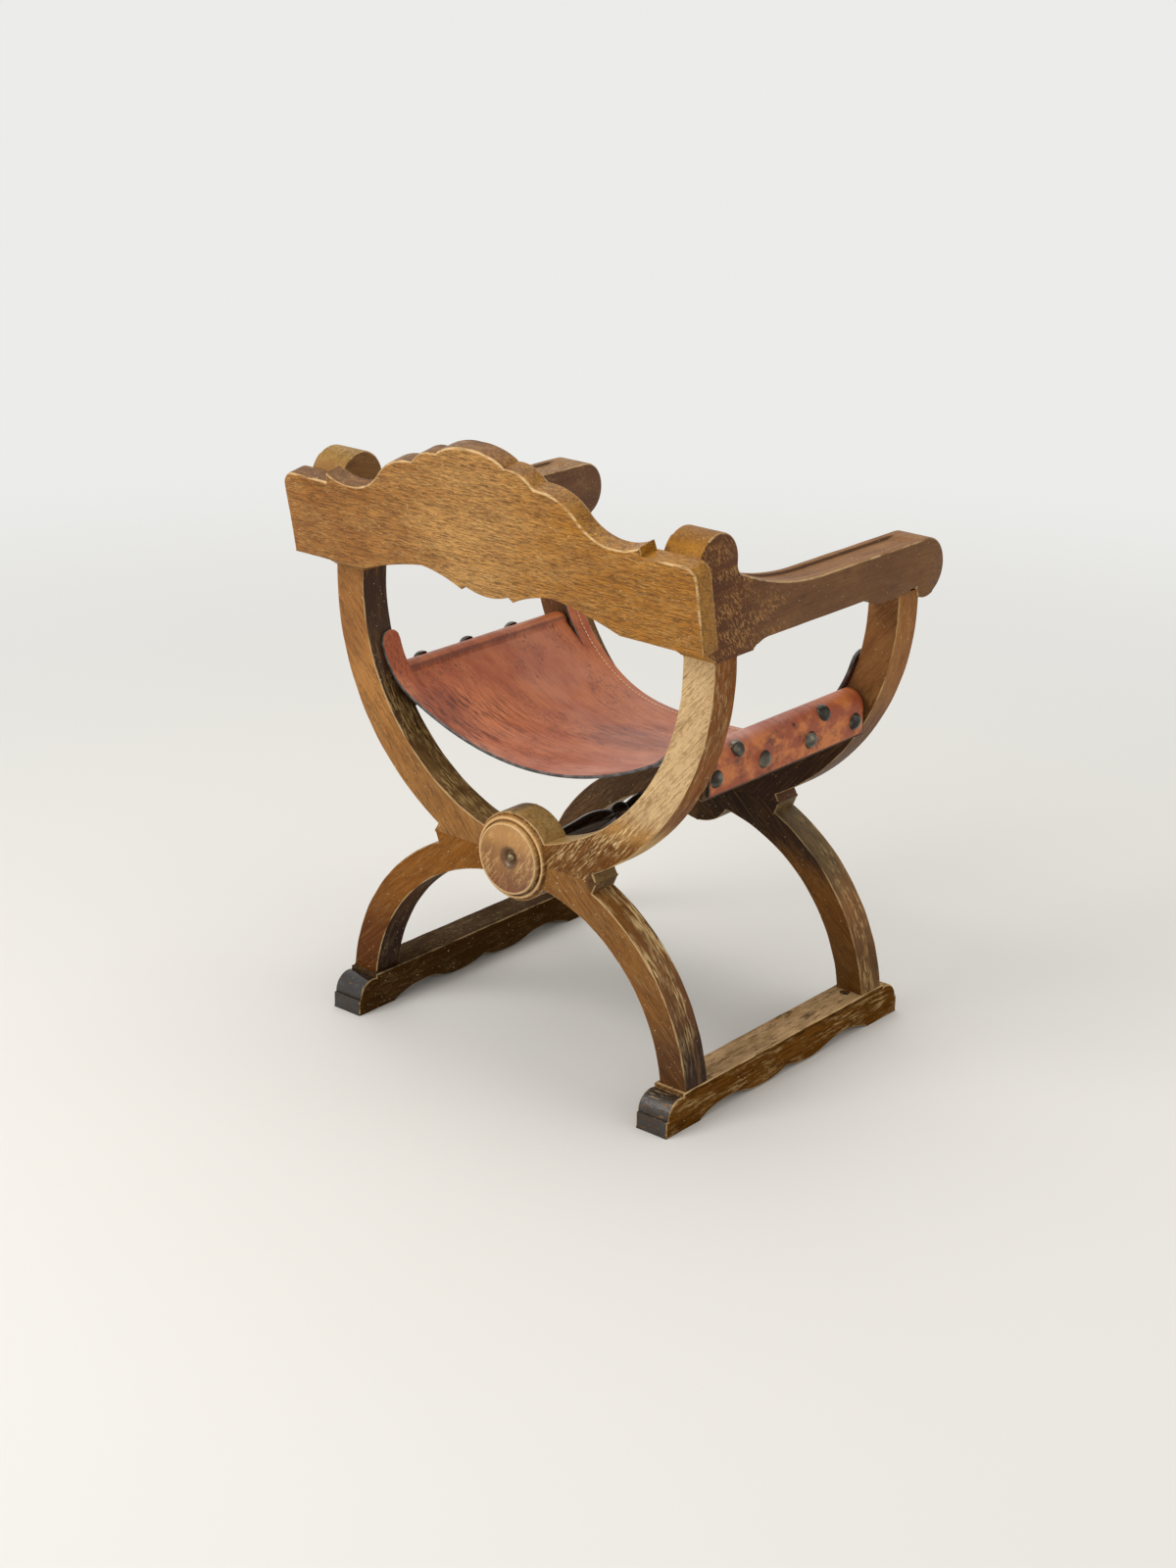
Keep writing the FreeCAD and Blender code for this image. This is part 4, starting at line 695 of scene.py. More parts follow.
# %% Build the arms
def arm(node, seed, **finish):
    """An arm with its channelled top."""
    low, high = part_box(node)
    outline = even_outline(slice_outline(node, (1, 0, 0), high.x - UNDER_FACE)[:, [1, 2]])
    flat, normal, _ = outline
    span = (np.clip((flat[:, 0] - CHANNEL_FRONT) / FRONT_RUNOUT, 0, 1)
            * np.clip((CHANNEL_REAR - flat[:, 0]) / REAR_RUNOUT, 0, 1))
    upward = normal[:, 1] > 0.8
    middle_x = (low.x + high.x) / 2
    half = (high.x - low.x) / 2 - CHANNEL_BORDER

    def channel(depth):
        inside = np.clip((half + 1.2 * MM - np.abs(depth - middle_x)) / (1.6 * MM), 0, 1)
        return inside * (span * upward) * CHANNEL_DEPTH

    def channel_darkening(depth):
        inward = half + 0.8 * MM - np.abs(depth - middle_x)
        beside_border = np.clip(inward / (0.8 * MM), 0, 1) * np.clip(1 - inward / (4 * MM), 0, 1)
        return beside_border * (np.clip(span * 3, 0, 1) * upward)

    rows = middle_x + np.concatenate([-half - BORDER_EDGE[::-1], half + BORDER_EDGE])
    seam = (normal[:, 1] < -0.9) | (flat[:, 0] > board_low.y)
    piece = plank(node, outline, (low.x, high.x), lying_in_side, np.where(seam, ARM_SEAM, ARM_ARRIS),
                  oak("waxed_oak_" + node, "y", face_axis=0, seed=seed, **finish), seed,
                  dent={"rows": rows, "depth": channel, "darkening": channel_darkening})
    print(node, len(piece.data.polygons), "faces")


arm("arm_right", 41, face=("#603510", "#78502b"), side=("#a87012", "#7a5228"), fade=(1, 185, 40),
    top=("#96641c", "#8f6132"), face_lime=0.75, side_lime=0.5, lime_fade=(1, 10, 110), lime="#b0814a",
    fleck_cell=(7, 2.2, 2.4), fleck_turn=-50, wear_share=0.6, gold=0.0, sheen=0.16, figure=0.5)
arm("arm_left", 42, face=("#80571f", "#6c4420"), side=("#a07438", "#7a5228"), fade=(1, 185, 60),
    top=("#96702f", "#8f6638"), face_lime=0.15, side_lime=0.4, fleck_cell=(9, 2.2, 2.4), wear_share=0.6,
    gold=0.0, figure=0.45)

# %% [markdown]
# ## The back board
# The board leans back, so its outline is read on a tilted plane: the lean is found
# from the board's own rear face.  Its scalloped crest is the best-worn edge of the
# chair, pale and softly rounded.

# %% Measures of the board
UNDER_BOARD = 5 * MM
CREST_ARRIS, BOARD_ARRIS = 3.6 * MM, 2.2 * MM


# %% Build the back board
def board(node, seed):
    """The leaning board: outline on a plane parallel to its rear face."""
    place, faces = triangles(node)
    corner = place[faces]
    across = np.cross(corner[:, 1] - corner[:, 0], corner[:, 2] - corner[:, 0])
    rearward = unit(across[np.argmax(across[:, 1])])
    level = np.abs(across @ rearward) > 0.9999 * np.linalg.norm(across, axis=1)
    normal = unit(across[(across[:, 1] > 0) & level].sum(axis=0))
    up = np.cross((1, 0, 0), normal)
    reach = place @ normal
    cut = slice_outline(node, normal, reach.max() - UNDER_BOARD)
    outline = even_outline(np.stack([cut[:, 0], cut @ up], axis=-1))
    arris = np.where(outline[1][:, 1] < -0.5, BOARD_ARRIS, CREST_ARRIS)

    def lying_in_lean(a, b, c):
        return a[..., None] * np.array([1, 0, 0]) + b[..., None] * up + c[..., None] * normal

    finish = oak("golden_waxed_oak_back_board", "x", face=("#ae7324", "#c28f4e", "#9e6525"),
                 side=("#ac7418", "#7a4c12", "#7a4e19"), fade=(0, -260, 280), pores="#4e2f0e",
                 pore_share=0.72, pore_cell=(15, 1.5, 1.8), pore_cover=0.03, even_pores=0.5, face_lime=0.35,
                 side_lime=0.2, lime="#d0a765", fleck_cell=(11, 2.0, 2.2), grime="#54350f",
                 grime_share=0.25, wear_colour="#e0bb86", wear_share=0.9, cloudy=0.25, gold=0.3, gloss=0.24,
                 sheen=0.2)
    return plank(node, outline, (reach.min(), reach.max()), lying_in_lean, arris, finish, seed)


print("back board", len(board("back_board", 51).data.polygons), "faces")

# %% [markdown]
# ## Rails, turnings and iron
# The seat rails stay almost hidden in the folded hide.  The rosettes, the stretcher,
# the nails and the screws keep the solid's shape: a merged copy is shaded smooth.


# %% Smooth copies
def smooth_copy(names, material, slot):
    """Merged copies of nodes, shaded smooth up to 32 degrees."""
    for node in names:
        place, faces = triangles(node)
        finish_piece(node + "_finish", place, faces.tolist(), material, node=node, slot=slot, smooth_angle=32)


# %% Rings of the rosettes, with painted light and shade
def rosette_painted_light(material, dark, pale):
    """Rings about the hub's axis, each (radius, half width) in mm: painted shade in the groove and round the
    nail's dimple, painted highlights on the bead and the rim.  The face is painted darker below and lighter
    above."""
    tree = material.node_tree
    shader = tree.nodes["Principled BSDF"]
    _, axes = place_of(tree)
    rise = total(tree, axes[2], -hub_z)
    away = hypotenuse(tree, axes[0], rise)
    # painted shade on the lower part of the dish, and a painted highlight on its upper part
    tone = lay(tree, shader.inputs["Base Color"].links[0].from_socket, "#b08050",
               (rise, -8 * MM, -38 * MM, 0.0, 0.7), (away, 46 * MM, 43 * MM), way="MULTIPLY")
    tone = lay(tree, tone, "#d39c55", (rise, 0.0, 30 * MM, 0.0, 0.5), (away, 12 * MM, 20 * MM))
    # painted shade rings in the groove and round the nail, painted highlight rings on the bead and the rim
    for rings, colour in ((dark, "#3b220c"), (pale, "#e2bb82")):
        for radius, width in rings:
            apart = add(tree, "Math", (total(tree, away, -radius * MM),), operation="ABSOLUTE")[0]
            tone = lay(tree, tone, colour, (apart, 0.4 * width * MM, width * MM, 0.6, 0.0))
    give(tree, shader, {"Base Color": tone, "Specular IOR Level": 0.5})
    return material


turned_oak = oak("turned_waxed_oak", "z", face=("#9b6a32", "#93612c"), side=("#8b6838", "#7c5a2c"),
                 face_lime=0.5, side_lime=0.8, lime="#d8b074", fleck_cell=(12, 3.5, 14), fleck_turn=35,
                 pore_share=0.3, figure=0.6, gloss=0.16)
# the rosettes get painted shade rings and painted highlight rings
smooth_copy(["rear_rosette", "front_rosette"],
            rosette_painted_light(turned_oak, dark=[(48.4, 1.2), (9.5, 7.0)], pale=[(45.3, 2.0), (51.8, 1.6)]), "oak")
hidden_oak = oak("plain_oak_rails", "y", face=("#4a341e", "#4a341e"), side=("#4a341e", "#4a341e"),
                 face_axis=0)
smooth_copy(["seat_rail_left", "seat_rail_right"], hidden_oak, "oak")
print("rosettes and rails are dressed")


# %% Ebonised stretcher
def ebonised(name):
    """Ebonised oak: black-brown stain and wax, which shows as soft long highlights."""
    material, tree, shader = new_material(name)
    streak = cells(tree, grain_space(tree, "y")[0], (60, 3, 3), 4, 0.6)
    give(tree, shader, {"Base Color": lay(tree, "#140c07", "#3a2412", (streak, 0.42, 0.7)), "Roughness": 0.2,
                        "Specular IOR Level": 0.3, "Specular Tint": "#ffe6c8"})
    return material


smooth_copy(["turned_stretcher"], ebonised("ebonised_oak"), "dark_oak")


# %% Iron nails, bronze pins and plain dowels
def domed_iron(name, dark, bright, rough):
    """Patinated metal: nearly black and rubbed bright in soft random patches."""
    material, tree, shader = new_material(name)
    cloud = cells(tree, place_of(tree)[0], (16, 16, 16), 1, 0.5)
    give(tree, shader, {
        "Base Color": lay(tree, dark, bright, (cloud, 0.38, 0.66)),
        "Roughness": (cloud, 0.3, 0.7, rough + 0.12, rough - 0.06), "Metallic": 0.85,
        "Normal": add(tree, "Bump", {"Height": cloud, "Distance": 0.3 * MM, "Strength": 0.2})[0]})
    return material


dark_iron = domed_iron("patinated_iron", "#37332e", "#6e675b", 0.26)
smooth_copy(["seat_nails_left", "seat_nails_right", "foot_screws"], dark_iron, "dark_iron")
smooth_copy(["rosette_nails"], domed_iron("rubbed_bronze", "#7a6850", "#c0a884", 0.3), "bright_iron")
dowel_wood, dowel_tree, dowel_shader = new_material("plain_beech")
give(dowel_tree, dowel_shader, {"Base Color": "#b08a5c", "Roughness": 0.6})
for name in ("rear_hub_dowels", "front_hub_dowels", "arm_dowels", "back_board_dowels"):
    nodes[name].data.materials.clear()
    nodes[name].data.materials.append(dowel_wood)
print("nails, screws and dowels are dressed")

# %% [markdown]
# ## Saddle leather
# The seat is one thick vegetable-tanned hide, oiled and sat on for years: red brown,
# paler and pinkish towards the rear right, partly its own colour and partly painted sheen,
# nearly orange on the nailed flaps, with dark stains.  Its cut edges are painted dark grey,
# which the rim of the sheet shows.

# %% Measures of the hide's marks
HALF_DEPTH = (hide_high.y - hide_low.y) / 2
SLIT, STITCH_IN = 158 * MM, 14 * MM
RAIL_ROUND, RAIL_SHOULDER = 8 * MM, 17 * MM
NAIL_DEGREES, NAIL_REACH = 35, RAIL_SHOULDER + 4.5 * MM
LOST_NAIL = (-(rail_high.x - RAIL_SHOULDER + NAIL_REACH * math.cos(math.radians(NAIL_DEGREES))),
             middle_y - 13 * MM,
             rail_high.z - RAIL_SHOULDER + NAIL_REACH * math.sin(math.radians(NAIL_DEGREES)))
SAT_ON = (30 * MM, -25 * MM, 374 * MM)
GREYER_PLACES = (((156 * MM, 150 * MM, 423 * MM), 80 * MM, 0.8), ((-5 * MM, -45 * MM, 371 * MM), 85 * MM, 0.7))
EAR_BASE = 470 * MM


# %% Tanned colour and brush strokes
def tan_and_sheen(tree, skin):
    """Mottled red brown that turns pinkish towards the rear right: partly the hide's colour, partly painted
    sheen.
    """
    x, y, _ = skin.axes
    # partly painted sheen: the pale pinkish share grows towards the rear right
    pink_sheen_share = total(tree, product(tree, y, 1.6), product(tree, x, -1.0), product(tree, skin.cloud, 0.2))
    red = lay(tree, "#a04c26", "#bd6c3e", skin.mottle)
    pink_and_sheen = lay(tree, "#aa604c", "#c78c7b", skin.mottle)
    return lay(tree, red, pink_and_sheen, (pink_sheen_share, 0.08, 0.52))


def brushed(tree, skin, tone):
    """Strokes of dye, strong at the rear left and faint elsewhere, and calm on the front hem."""
    x, y, _ = skin.axes
    strong = product(tree, (total(tree, x, skin.uneven), -80 * MM, 60 * MM), (x, 205 * MM, 165 * MM),
                     (total(tree, y, skin.uneven), 0.0, 110 * MM), 0.75)
    patchy = cells(tree, skin.place, (120, 75, 90), 3, 0.6, (3.3, 2.1, 0.4))
    worked = product(tree, (patchy, 0.38, 0.54, 0.6, 1.0), total(tree, strong, 0.25),
                     (total(tree, y, HALF_DEPTH - middle_y), STITCH_IN, STITCH_IN + 6 * MM))
    tone = lay(tree, tone, "#64290f", (skin.brush, 0.46, 0.62), worked)
    return lay(tree, tone, "#c6713c", (skin.brush, 0.50, 0.36), worked, 0.7)


# %% Scuffs and greyer places
def scuffed(tree, skin, tone):
    """Pale rubbed parts, scuffs in patches, and cracks where the sitter rests."""
    pale = cells(tree, skin.place, (140, 110, 130), 2, 0.5, (7.2, 3.1, 3))
    tone = lay(tree, tone, "#bd8068", (pale, 0.46, 0.66, 0.0, 0.3))
    rest = add(tree, "VectorMath", (skin.place, SAT_ON), operation="DISTANCE")["Value"]
    patches = cells(tree, skin.place, (60, 40, 60), 2, 0.5, (0.7, 4.4, 2))
    scuffs = product(tree, (cells(tree, skin.place, (7, 2.2, 7), 4, 0.7, (6, 6, 2)), 0.53, 0.62),
                     (patches, 0.50, 0.60, 0.0, 0.85))
    cracks = product(tree, (cells(tree, skin.place, (15, 6, 12), 6, 0.8, (2, 9, 5)), 0.52, 0.60),
                     (total(tree, rest, skin.uneven), 60 * MM, 25 * MM, 0.0, 0.7))
    return lay(tree, tone, "#4e2a20", add(tree, "Math", (scuffs, cracks), operation="MAXIMUM")[0])


def greyer_places(tree, skin, tone):
    """Two greyer places: the rear left corner and the middle of the seat."""
    for centre, reach, strength in GREYER_PLACES:
        apart = add(tree, "VectorMath", (skin.place, centre), operation="DISTANCE")["Value"]
        apart = total(tree, apart, product(tree, skin.uneven, 0.3))
        tone = lay(tree, tone, "#c8b8b4", (apart, reach, 0.2 * reach, 0.0, strength), way="MULTIPLY")
    return tone


# %% Painted crease shadow, flaps, and the flesh side with painted shade
def crease_shadow(tree, skin, tone):
    """A ragged dark line of painted shadow in the crease by each rail, between the slits."""
    apart = add(tree, "Math", (total(tree, skin.aside, 2 * MM - rail_low.x),), operation="ABSOLUTE")[0]
    ragged = total(tree, apart, product(tree, total(tree, skin.cloud, -0.5), 4 * MM))
    along = add(tree, "Math", (total(tree, skin.axes[1], -middle_y),), operation="ABSOLUTE")[0]
    return lay(tree, tone, "#4a2015", (ragged, 0.5 * MM, 3 * MM, 0.6, 0.0), (along, SLIT, SLIT - 4 * MM))


def nailed_flaps(tree, skin, tone):
    """The flaps outside the rails, brighter and deeply stained, and the lost nail's hole:
    a darker ring round a near-black spot of painted shade, as the hole is not cut.
    """
    flap = lay(tree, "#c8753a", "#9a4a2a", (cells(tree, skin.place, (46, 34, 24), 4, 0.6), 0.40, 0.6))
    stains = cells(tree, skin.place, (30, 34, 20), 5, 0.68, (6, 1, 2))
    flap = lay(tree, flap, "#52291a", (stains, 0.52, 0.70, 0.0, 0.75))
    tone = lay(tree, tone, flap, (skin.aside, rail_high.x - 12 * MM, rail_high.x + 3 * MM))
    hole = add(tree, "VectorMath", (skin.place, LOST_NAIL), operation="DISTANCE")["Value"]
    tone = lay(tree, tone, "#4a2416", (hole, 6 * MM, 2 * MM, 0.0, 0.55))
    # painted shade: a near-black spot stands for the open hole, which is not cut
    return lay(tree, tone, "#0c0605", (hole, 2.2 * MM, 1.5 * MM))


def flesh_side_and_shade(tree, skin, tone):
    """The hide's underside, nearly black: its own darker tone and painted shade,
    wherever the hide faces down, or out towards the bow on an ear.
    """
    toward = facing(tree)
    outward = product(tree, toward[0], add(tree, "Math", (skin.axes[0],), operation="SIGN")[0])
    by_bow = product(tree, (outward, 0.1, 0.4), (skin.axes[2], EAR_BASE, EAR_BASE + 6 * MM))
    flesh_and_shade = add(tree, "Math", (by_bow, (toward[2], -0.2, -0.5)), operation="MAXIMUM")[0]
    # painted shade over the underside's own darker colour
    return lay(tree, tone, lay(tree, "#2e1a14", "#4a2c20", skin.mottle), flesh_and_shade)


# %% The leather finishes
def saddle_leather(name):
    """Leather in layers, with the hide's fine grain as relief."""
    material, tree, shader = new_material(name)
    skin = SimpleNamespace()
    skin.place, skin.axes = place_of(tree)
    skin.aside = add(tree, "Math", (skin.axes[0],), operation="ABSOLUTE")[0]
    skin.cloud = cells(tree, skin.place, (90, 60, 60), 5, 0.62)
    skin.brush = cells(tree, skin.place, (38, 3.2, 12), 5, 0.66, (4, 2, 0))
    skin.mottle = add(tree, "MapRange", (skin.cloud, 0.34, 0.66), **SMOOTH)[0]
    skin.uneven = product(tree, total(tree, skin.cloud, -0.5), 0.3)
    tone = tan_and_sheen(tree, skin)
    # the layers include painted shadow in the creases and painted shade on the hide's underside
    for layer in (brushed, scuffed, greyer_places, crease_shadow, nailed_flaps, flesh_side_and_shade):
        tone = layer(tree, skin, tone)
    speck = cells(tree, skin.place, (4, 2.4, 4), 3, 0.6, (1, 5, 3))
    grain = add(tree, "TexVoronoi", {"Vector": skin.place, "Scale": 1 / (2.4 * MM)},
                feature="DISTANCE_TO_EDGE")
    height = total(tree, product(tree, (grain["Distance"], 0.0, 0.12), 0.5), skin.brush,
                   product(tree, speck, 0.5))
    give(tree, shader, {
        "Base Color": tone, "Roughness": (skin.brush, 0.3, 0.7, 0.28, 0.44), "Specular IOR Level": 0.28,
        "Normal": add(tree, "Bump", {"Height": height, "Distance": 0.5 * MM, "Strength": 0.35})[0]})
    return material


leather = saddle_leather("vegetable_tanned_leather")
edge_paint, edge_tree, edge_shader = new_material("grey_edge_paint")
edge_cloud = cells(edge_tree, place_of(edge_tree)[0], (12, 12, 12), 3)
give(edge_tree, edge_shader, {
    "Base Color": lay(edge_tree, "#3c3735", "#625b58", (edge_cloud, 0.4, 0.65)), "Roughness": 0.55})
print("nodes in the leather:", len(leather.node_tree.nodes))

# %% [markdown]
# ## How the hide hangs
# Each cross-section is a curve: a sag between the two creases, then either over the
# rail and down outside it, or, beyond the slits, up the curved bow as an ear.  The rear
# edge hangs as a parabola and the doubled front edge as a flatter, deeper curve; every
# section between is ruled from one to the other, with a few shallow waves of use.

# %% Measures of the hanging hide
THICK, CLEAR = 4.2 * MM, 0.3 * MM
SAG_SPAN = rail_low.x - 35 * MM
# the heights of the lowest point and of the ends, and how sharply the curve turns up
REAR_LOW, REAR_EDGE, REAR_SHARE = 393 * MM, 444 * MM, 2.0
FRONT_LOW, FRONT_EDGE, FRONT_SHARE = 357 * MM, 424 * MM, 3.2
CREASE_Z = 455 * MM
FLAP_END = rail_high.z - 52 * MM
BOW_INNER, BOW_X, BOW_Z = 283.5 * MM, -27 * MM, 583 * MM
EAR_CONTACT, EAR_TIP = 498 * MM, 516 * MM
print("the hide sags", round((REAR_EDGE - REAR_LOW) / MM), "mm at the rear and",
      round((FRONT_EDGE - FRONT_LOW) / MM), "mm at the front")


# %% The sag and its waves
def sag(x, y):
    """Height between the rails: low + (edge - low) * |x / span| ** share, ruled front to back."""
    share = np.abs(x) / SAG_SPAN
    rear = REAR_LOW + (REAR_EDGE - REAR_LOW) * share ** REAR_SHARE
    front = FRONT_LOW + (FRONT_EDGE - FRONT_LOW) * share ** FRONT_SHARE
    forward = (HALF_DEPTH - y) / (2 * HALF_DEPTH)
    return rear + (front - rear) * forward


def sag_end(y):
    """Height and slope of the sag at its left end."""
    end = float(sag(SAG_SPAN, y))
    return end, (end - float(sag(SAG_SPAN - MM, y))) / MM


def waves(x, y):
    """Shallow waves of use, a sum of two sines, that die out towards the creases and the two edges."""
    calm = np.clip(1 - (np.abs(x) / SAG_SPAN) ** 4, 0, 1) * np.clip(1 - (y / HALF_DEPTH) ** 6, 0, 1)
    ripple = np.sin(x / (41 * MM) + y / (63 * MM)) + 0.7 * np.sin(y / (37 * MM) - x / (88 * MM) + 1.3)
    return 1.1 * MM * calm * ripple


print("rear edge ends, mm:", round(sag_end(HALF_DEPTH)[0] / MM), "high")


# %% Over the rail and up the bow
def over_rail(start_z, offset):
    """(x, z) from the sag's end over the rail: crease, inner round, level top, outer round, flap."""
    gap = CLEAR + THICK / 2 + offset
    turn = np.linspace(0, math.pi / 2, 12)
    inner = np.stack([rail_low.x + RAIL_ROUND - (RAIL_ROUND + gap) * np.cos(turn),
                      rail_high.z - RAIL_ROUND + (RAIL_ROUND + gap) * np.sin(turn)], axis=-1)
    outer = np.stack([rail_high.x - RAIL_SHOULDER + (RAIL_SHOULDER + gap) * np.sin(turn),
                      rail_high.z - RAIL_SHOULDER + (RAIL_SHOULDER + gap) * np.cos(turn)], axis=-1)
    return np.vstack([[[SAG_SPAN, start_z]], [[rail_low.x - gap, CREASE_Z + offset]], inner, outer,
                      [[rail_high.x + gap, FLAP_END]]])


def up_bow(start_z, slope, offset, reach):
    """(x, z) from the sag's end up an ear: a cubic that lands on the bow's inner curve, and the curve."""
    radius = BOW_INNER - CLEAR - THICK / 2 - offset
    landing = math.asin((BOW_Z - EAR_CONTACT) / radius)
    tip = math.asin((BOW_Z - reach) / radius)
    end = np.array([BOW_X + radius * math.cos(landing), EAR_CONTACT])
    start = np.array([SAG_SPAN, start_z])
    pull = np.linalg.norm(end - start)
    leave = np.array([1.0, slope]) / math.hypot(1, slope) * pull
    land = np.array([math.sin(landing), math.cos(landing)]) * pull
    s = np.linspace(0, 1, 14)[:, None]
    cubic = ((2 * s ** 3 - 3 * s ** 2 + 1) * start + (s ** 3 - 2 * s ** 2 + s) * leave
             + (3 * s ** 2 - 2 * s ** 3) * end + (s ** 3 - s ** 2) * land)
    away = cubic - [BOW_X, BOW_Z]
    distance = np.linalg.norm(away, axis=1)[:, None]
    cubic = [BOW_X, BOW_Z] + away / distance * np.minimum(distance, radius)
    turn = np.linspace(landing, tip, 5)[1:]
    curve = np.stack([BOW_X + radius * np.cos(turn), BOW_Z - radius * np.sin(turn)], axis=-1)
    return np.vstack([cubic, curve])


# %% Grids of the hide
SAG_COLUMNS, WRAP_COLUMNS, EAR_COLUMNS = 81, 64, 34
TOUCH = 0.01 * MM
EAR_OPENING = 1.2 * MM


def walked(line, count):
    """A line of points walked again in this many even steps."""
    length = lengths_along(line)
    return at_lengths(line, length, np.linspace(0, length[-1], count))


def ear_grid(rows, end, offset):
    """An ear: rows across its width, each ending on the round tip and bending away from the slit."""
    half = (HALF_DEPTH - SLIT) / 2
    lines = []
    for y in rows:
        aside = np.clip((y - end * (SLIT + half)) / half, -0.995, 0.995)
        edge, slope = sag_end(y)
        line = walked(up_bow(edge + offset, slope, offset, EAR_TIP - half * (1 - math.sqrt(1 - aside ** 2))),
                      EAR_COLUMNS)
        opening = EAR_OPENING * end * np.clip((np.arange(EAR_COLUMNS) - 2) / 4, 0, 1)
        lines.append(np.insert(line, 1, y + opening * (abs(y) < SLIT + MM), axis=1))
    return np.array(lines)


def hide_grids(rows, offset=0.0, whole=True):
    """Sag, wraps and ears as separate grids that share their joining columns; or the sag alone."""
    x, y = np.meshgrid(np.linspace(-SAG_SPAN, SAG_SPAN, SAG_COLUMNS), rows)
    grids = [np.stack([x, y + middle_y, sag(x, y) + offset + waves(x, y)], axis=-1)]
    for side in (-1, 1) if whole else ():
        wrap = [np.insert(walked(over_rail(sag_end(y)[0] + offset, offset), WRAP_COLUMNS), 1, y, axis=1)
                for y in rows[np.abs(rows) <= SLIT + TOUCH]]
        ears = [ear_grid(rows[rows * end >= SLIT - TOUCH], end, offset) for end in (-1, 1)]
        grids += [grid * (side, 1, 1) + (0, middle_y, 0) for grid in (np.array(wrap), *ears)]
    return grids


def joined(grids):
    """All grids as one list of places and one list of quads between neighbours."""
    faces, count = [], 0
    for grid in grids:
        index = np.arange(grid[..., 0].size).reshape(grid.shape[:2]) + count
        faces += np.stack([index[:-1, :-1], index[1:, :-1], index[1:, 1:], index[:-1, 1:]],
                          axis=-1).reshape(-1, 4).tolist()
        count += index.size
    return np.vstack([grid.reshape(-1, 3) for grid in grids]), faces


# %% Build the seat
def thicken(piece, thickness, even):
    """A wall of this thickness, half to each side of the sheet, with the second material on its rim."""
    wall = piece.modifiers.new("thickness", "SOLIDIFY")
    wall.thickness = thickness
    wall.offset = 0.0
    wall.use_even_offset = even
    wall.material_offset_rim = 1


ear_rows = SLIT + np.linspace(0, 1, 13)[1:] * (HALF_DEPTH - SLIT)
hide_rows = np.concatenate([-ear_rows[::-1], np.linspace(-SLIT, SLIT, 63), ear_rows])
hide = finish_piece("leather_seat_hide", *joined(hide_grids(hide_rows)), leather, edge_paint,
                    node="leather_seat", slot="saddle_leather", smooth_angle=70)
thicken(hide, THICK, even=True)

# %% [markdown]
# ## The stitched front hem
# A second strip of leather doubles the front edge and is sewn to it with waxed thread.
# The strip is the same hanging curve, only lower by its own thickness, and the stitches
# are small beads laid on the hide along that line.

# %% Measures of the hem and its thread
HEM, HEM_THICK = 18 * MM, 2.0 * MM
STITCH_PITCH, STITCH_RADIUS, STITCH_LIFT = 6.0 * MM, 1.0 * MM, 0.35 * MM
BEAD_ROWS, BEAD_ROUND = 7, 8
STITCH_END = EAR_TIP - 12 * MM

# %% Build the hem
hem_rows = np.linspace(-HALF_DEPTH, HEM - HALF_DEPTH, 6)
hem_grids = hide_grids(hem_rows, -(THICK + HEM_THICK) / 2 - CLEAR, whole=False)
hem = finish_piece("front_hem_doubling", *joined(hem_grids), leather, edge_paint, node="front_hem_strip",
                   slot="saddle_leather", smooth_angle=70)
thicken(hem, HEM_THICK, even=False)
print("hem", len(hem.data.polygons), "faces")


# %% Stitches
def stitch_line(y):
    """The hide's upper face along one row, from ear tip to ear tip, with its upward normals."""
    edge, slope = sag_end(y)
    rise = up_bow(edge, slope, 0.0, STITCH_END)
    x = np.linspace(-SAG_SPAN, SAG_SPAN, 161)
    whole = np.vstack([rise[::-1] * (-1, 1), np.stack([x, sag(x, y) + waves(x, y)], axis=-1), rise])
    whole = walked(whole, round(lengths_along(whole)[-1] / MM) + 1)
    ahead = np.gradient(whole, axis=0)
    up = unit(np.stack([-ahead[:, 1], ahead[:, 0]], axis=-1))
    top = np.insert(whole + up * (THICK / 2 + STITCH_LIFT), 1, y + middle_y, axis=1)
    return top, np.insert(up, 1, 0, axis=1)


def stitches(name, line, normals, material):
    """Beads along a line, each an ellipsoid of 7 by 8 corners: cos a ahead, sin a cos b aside and
    sin a sin b up, times its half length and radius."""
    length = lengths_along(line)
    at = np.arange(STITCH_PITCH, length[-1] - STITCH_PITCH / 2, STITCH_PITCH)
    centre, up = at_lengths(line, length, at), unit(at_lengths(normals, length, at))
    ahead = unit(np.gradient(centre, axis=0))
    a, b = np.meshgrid(np.linspace(0, math.pi, BEAD_ROWS), np.linspace(0, TAU, BEAD_ROUND, endpoint=False),
                       indexing="ij")
    bead = np.stack([np.cos(a) * STITCH_PITCH * 0.40, np.sin(a) * np.cos(b) * STITCH_RADIUS,
                     np.sin(a) * np.sin(b) * STITCH_RADIUS], axis=-1).reshape(-1, 3)
    places = centre[:, None] + bead @ np.stack([ahead, np.cross(up, ahead), up], axis=1)
    index = np.arange(BEAD_ROWS * BEAD_ROUND).reshape(BEAD_ROWS, BEAD_ROUND)
    ring = np.roll(index, -1, axis=1)
    quads = np.stack([index[:-1], ring[:-1], ring[1:], index[1:]], axis=-1).reshape(-1, 4)
    faces = (quads[None] + index.size * np.arange(len(at))[:, None, None]).reshape(-1, 4)
    print("stitches:", len(at))
    return finish_piece(name, places.reshape(-1, 3), faces.tolist(), material, slot="saddle_leather")


thread, thread_tree, thread_shader = new_material("waxed_linen_thread")
give(thread_tree, thread_shader, {"Base Color": "#dcb894", "Roughness": 0.6})
seam = stitches("front_hem_stitches", *stitch_line(STITCH_IN - HALF_DEPTH), thread)

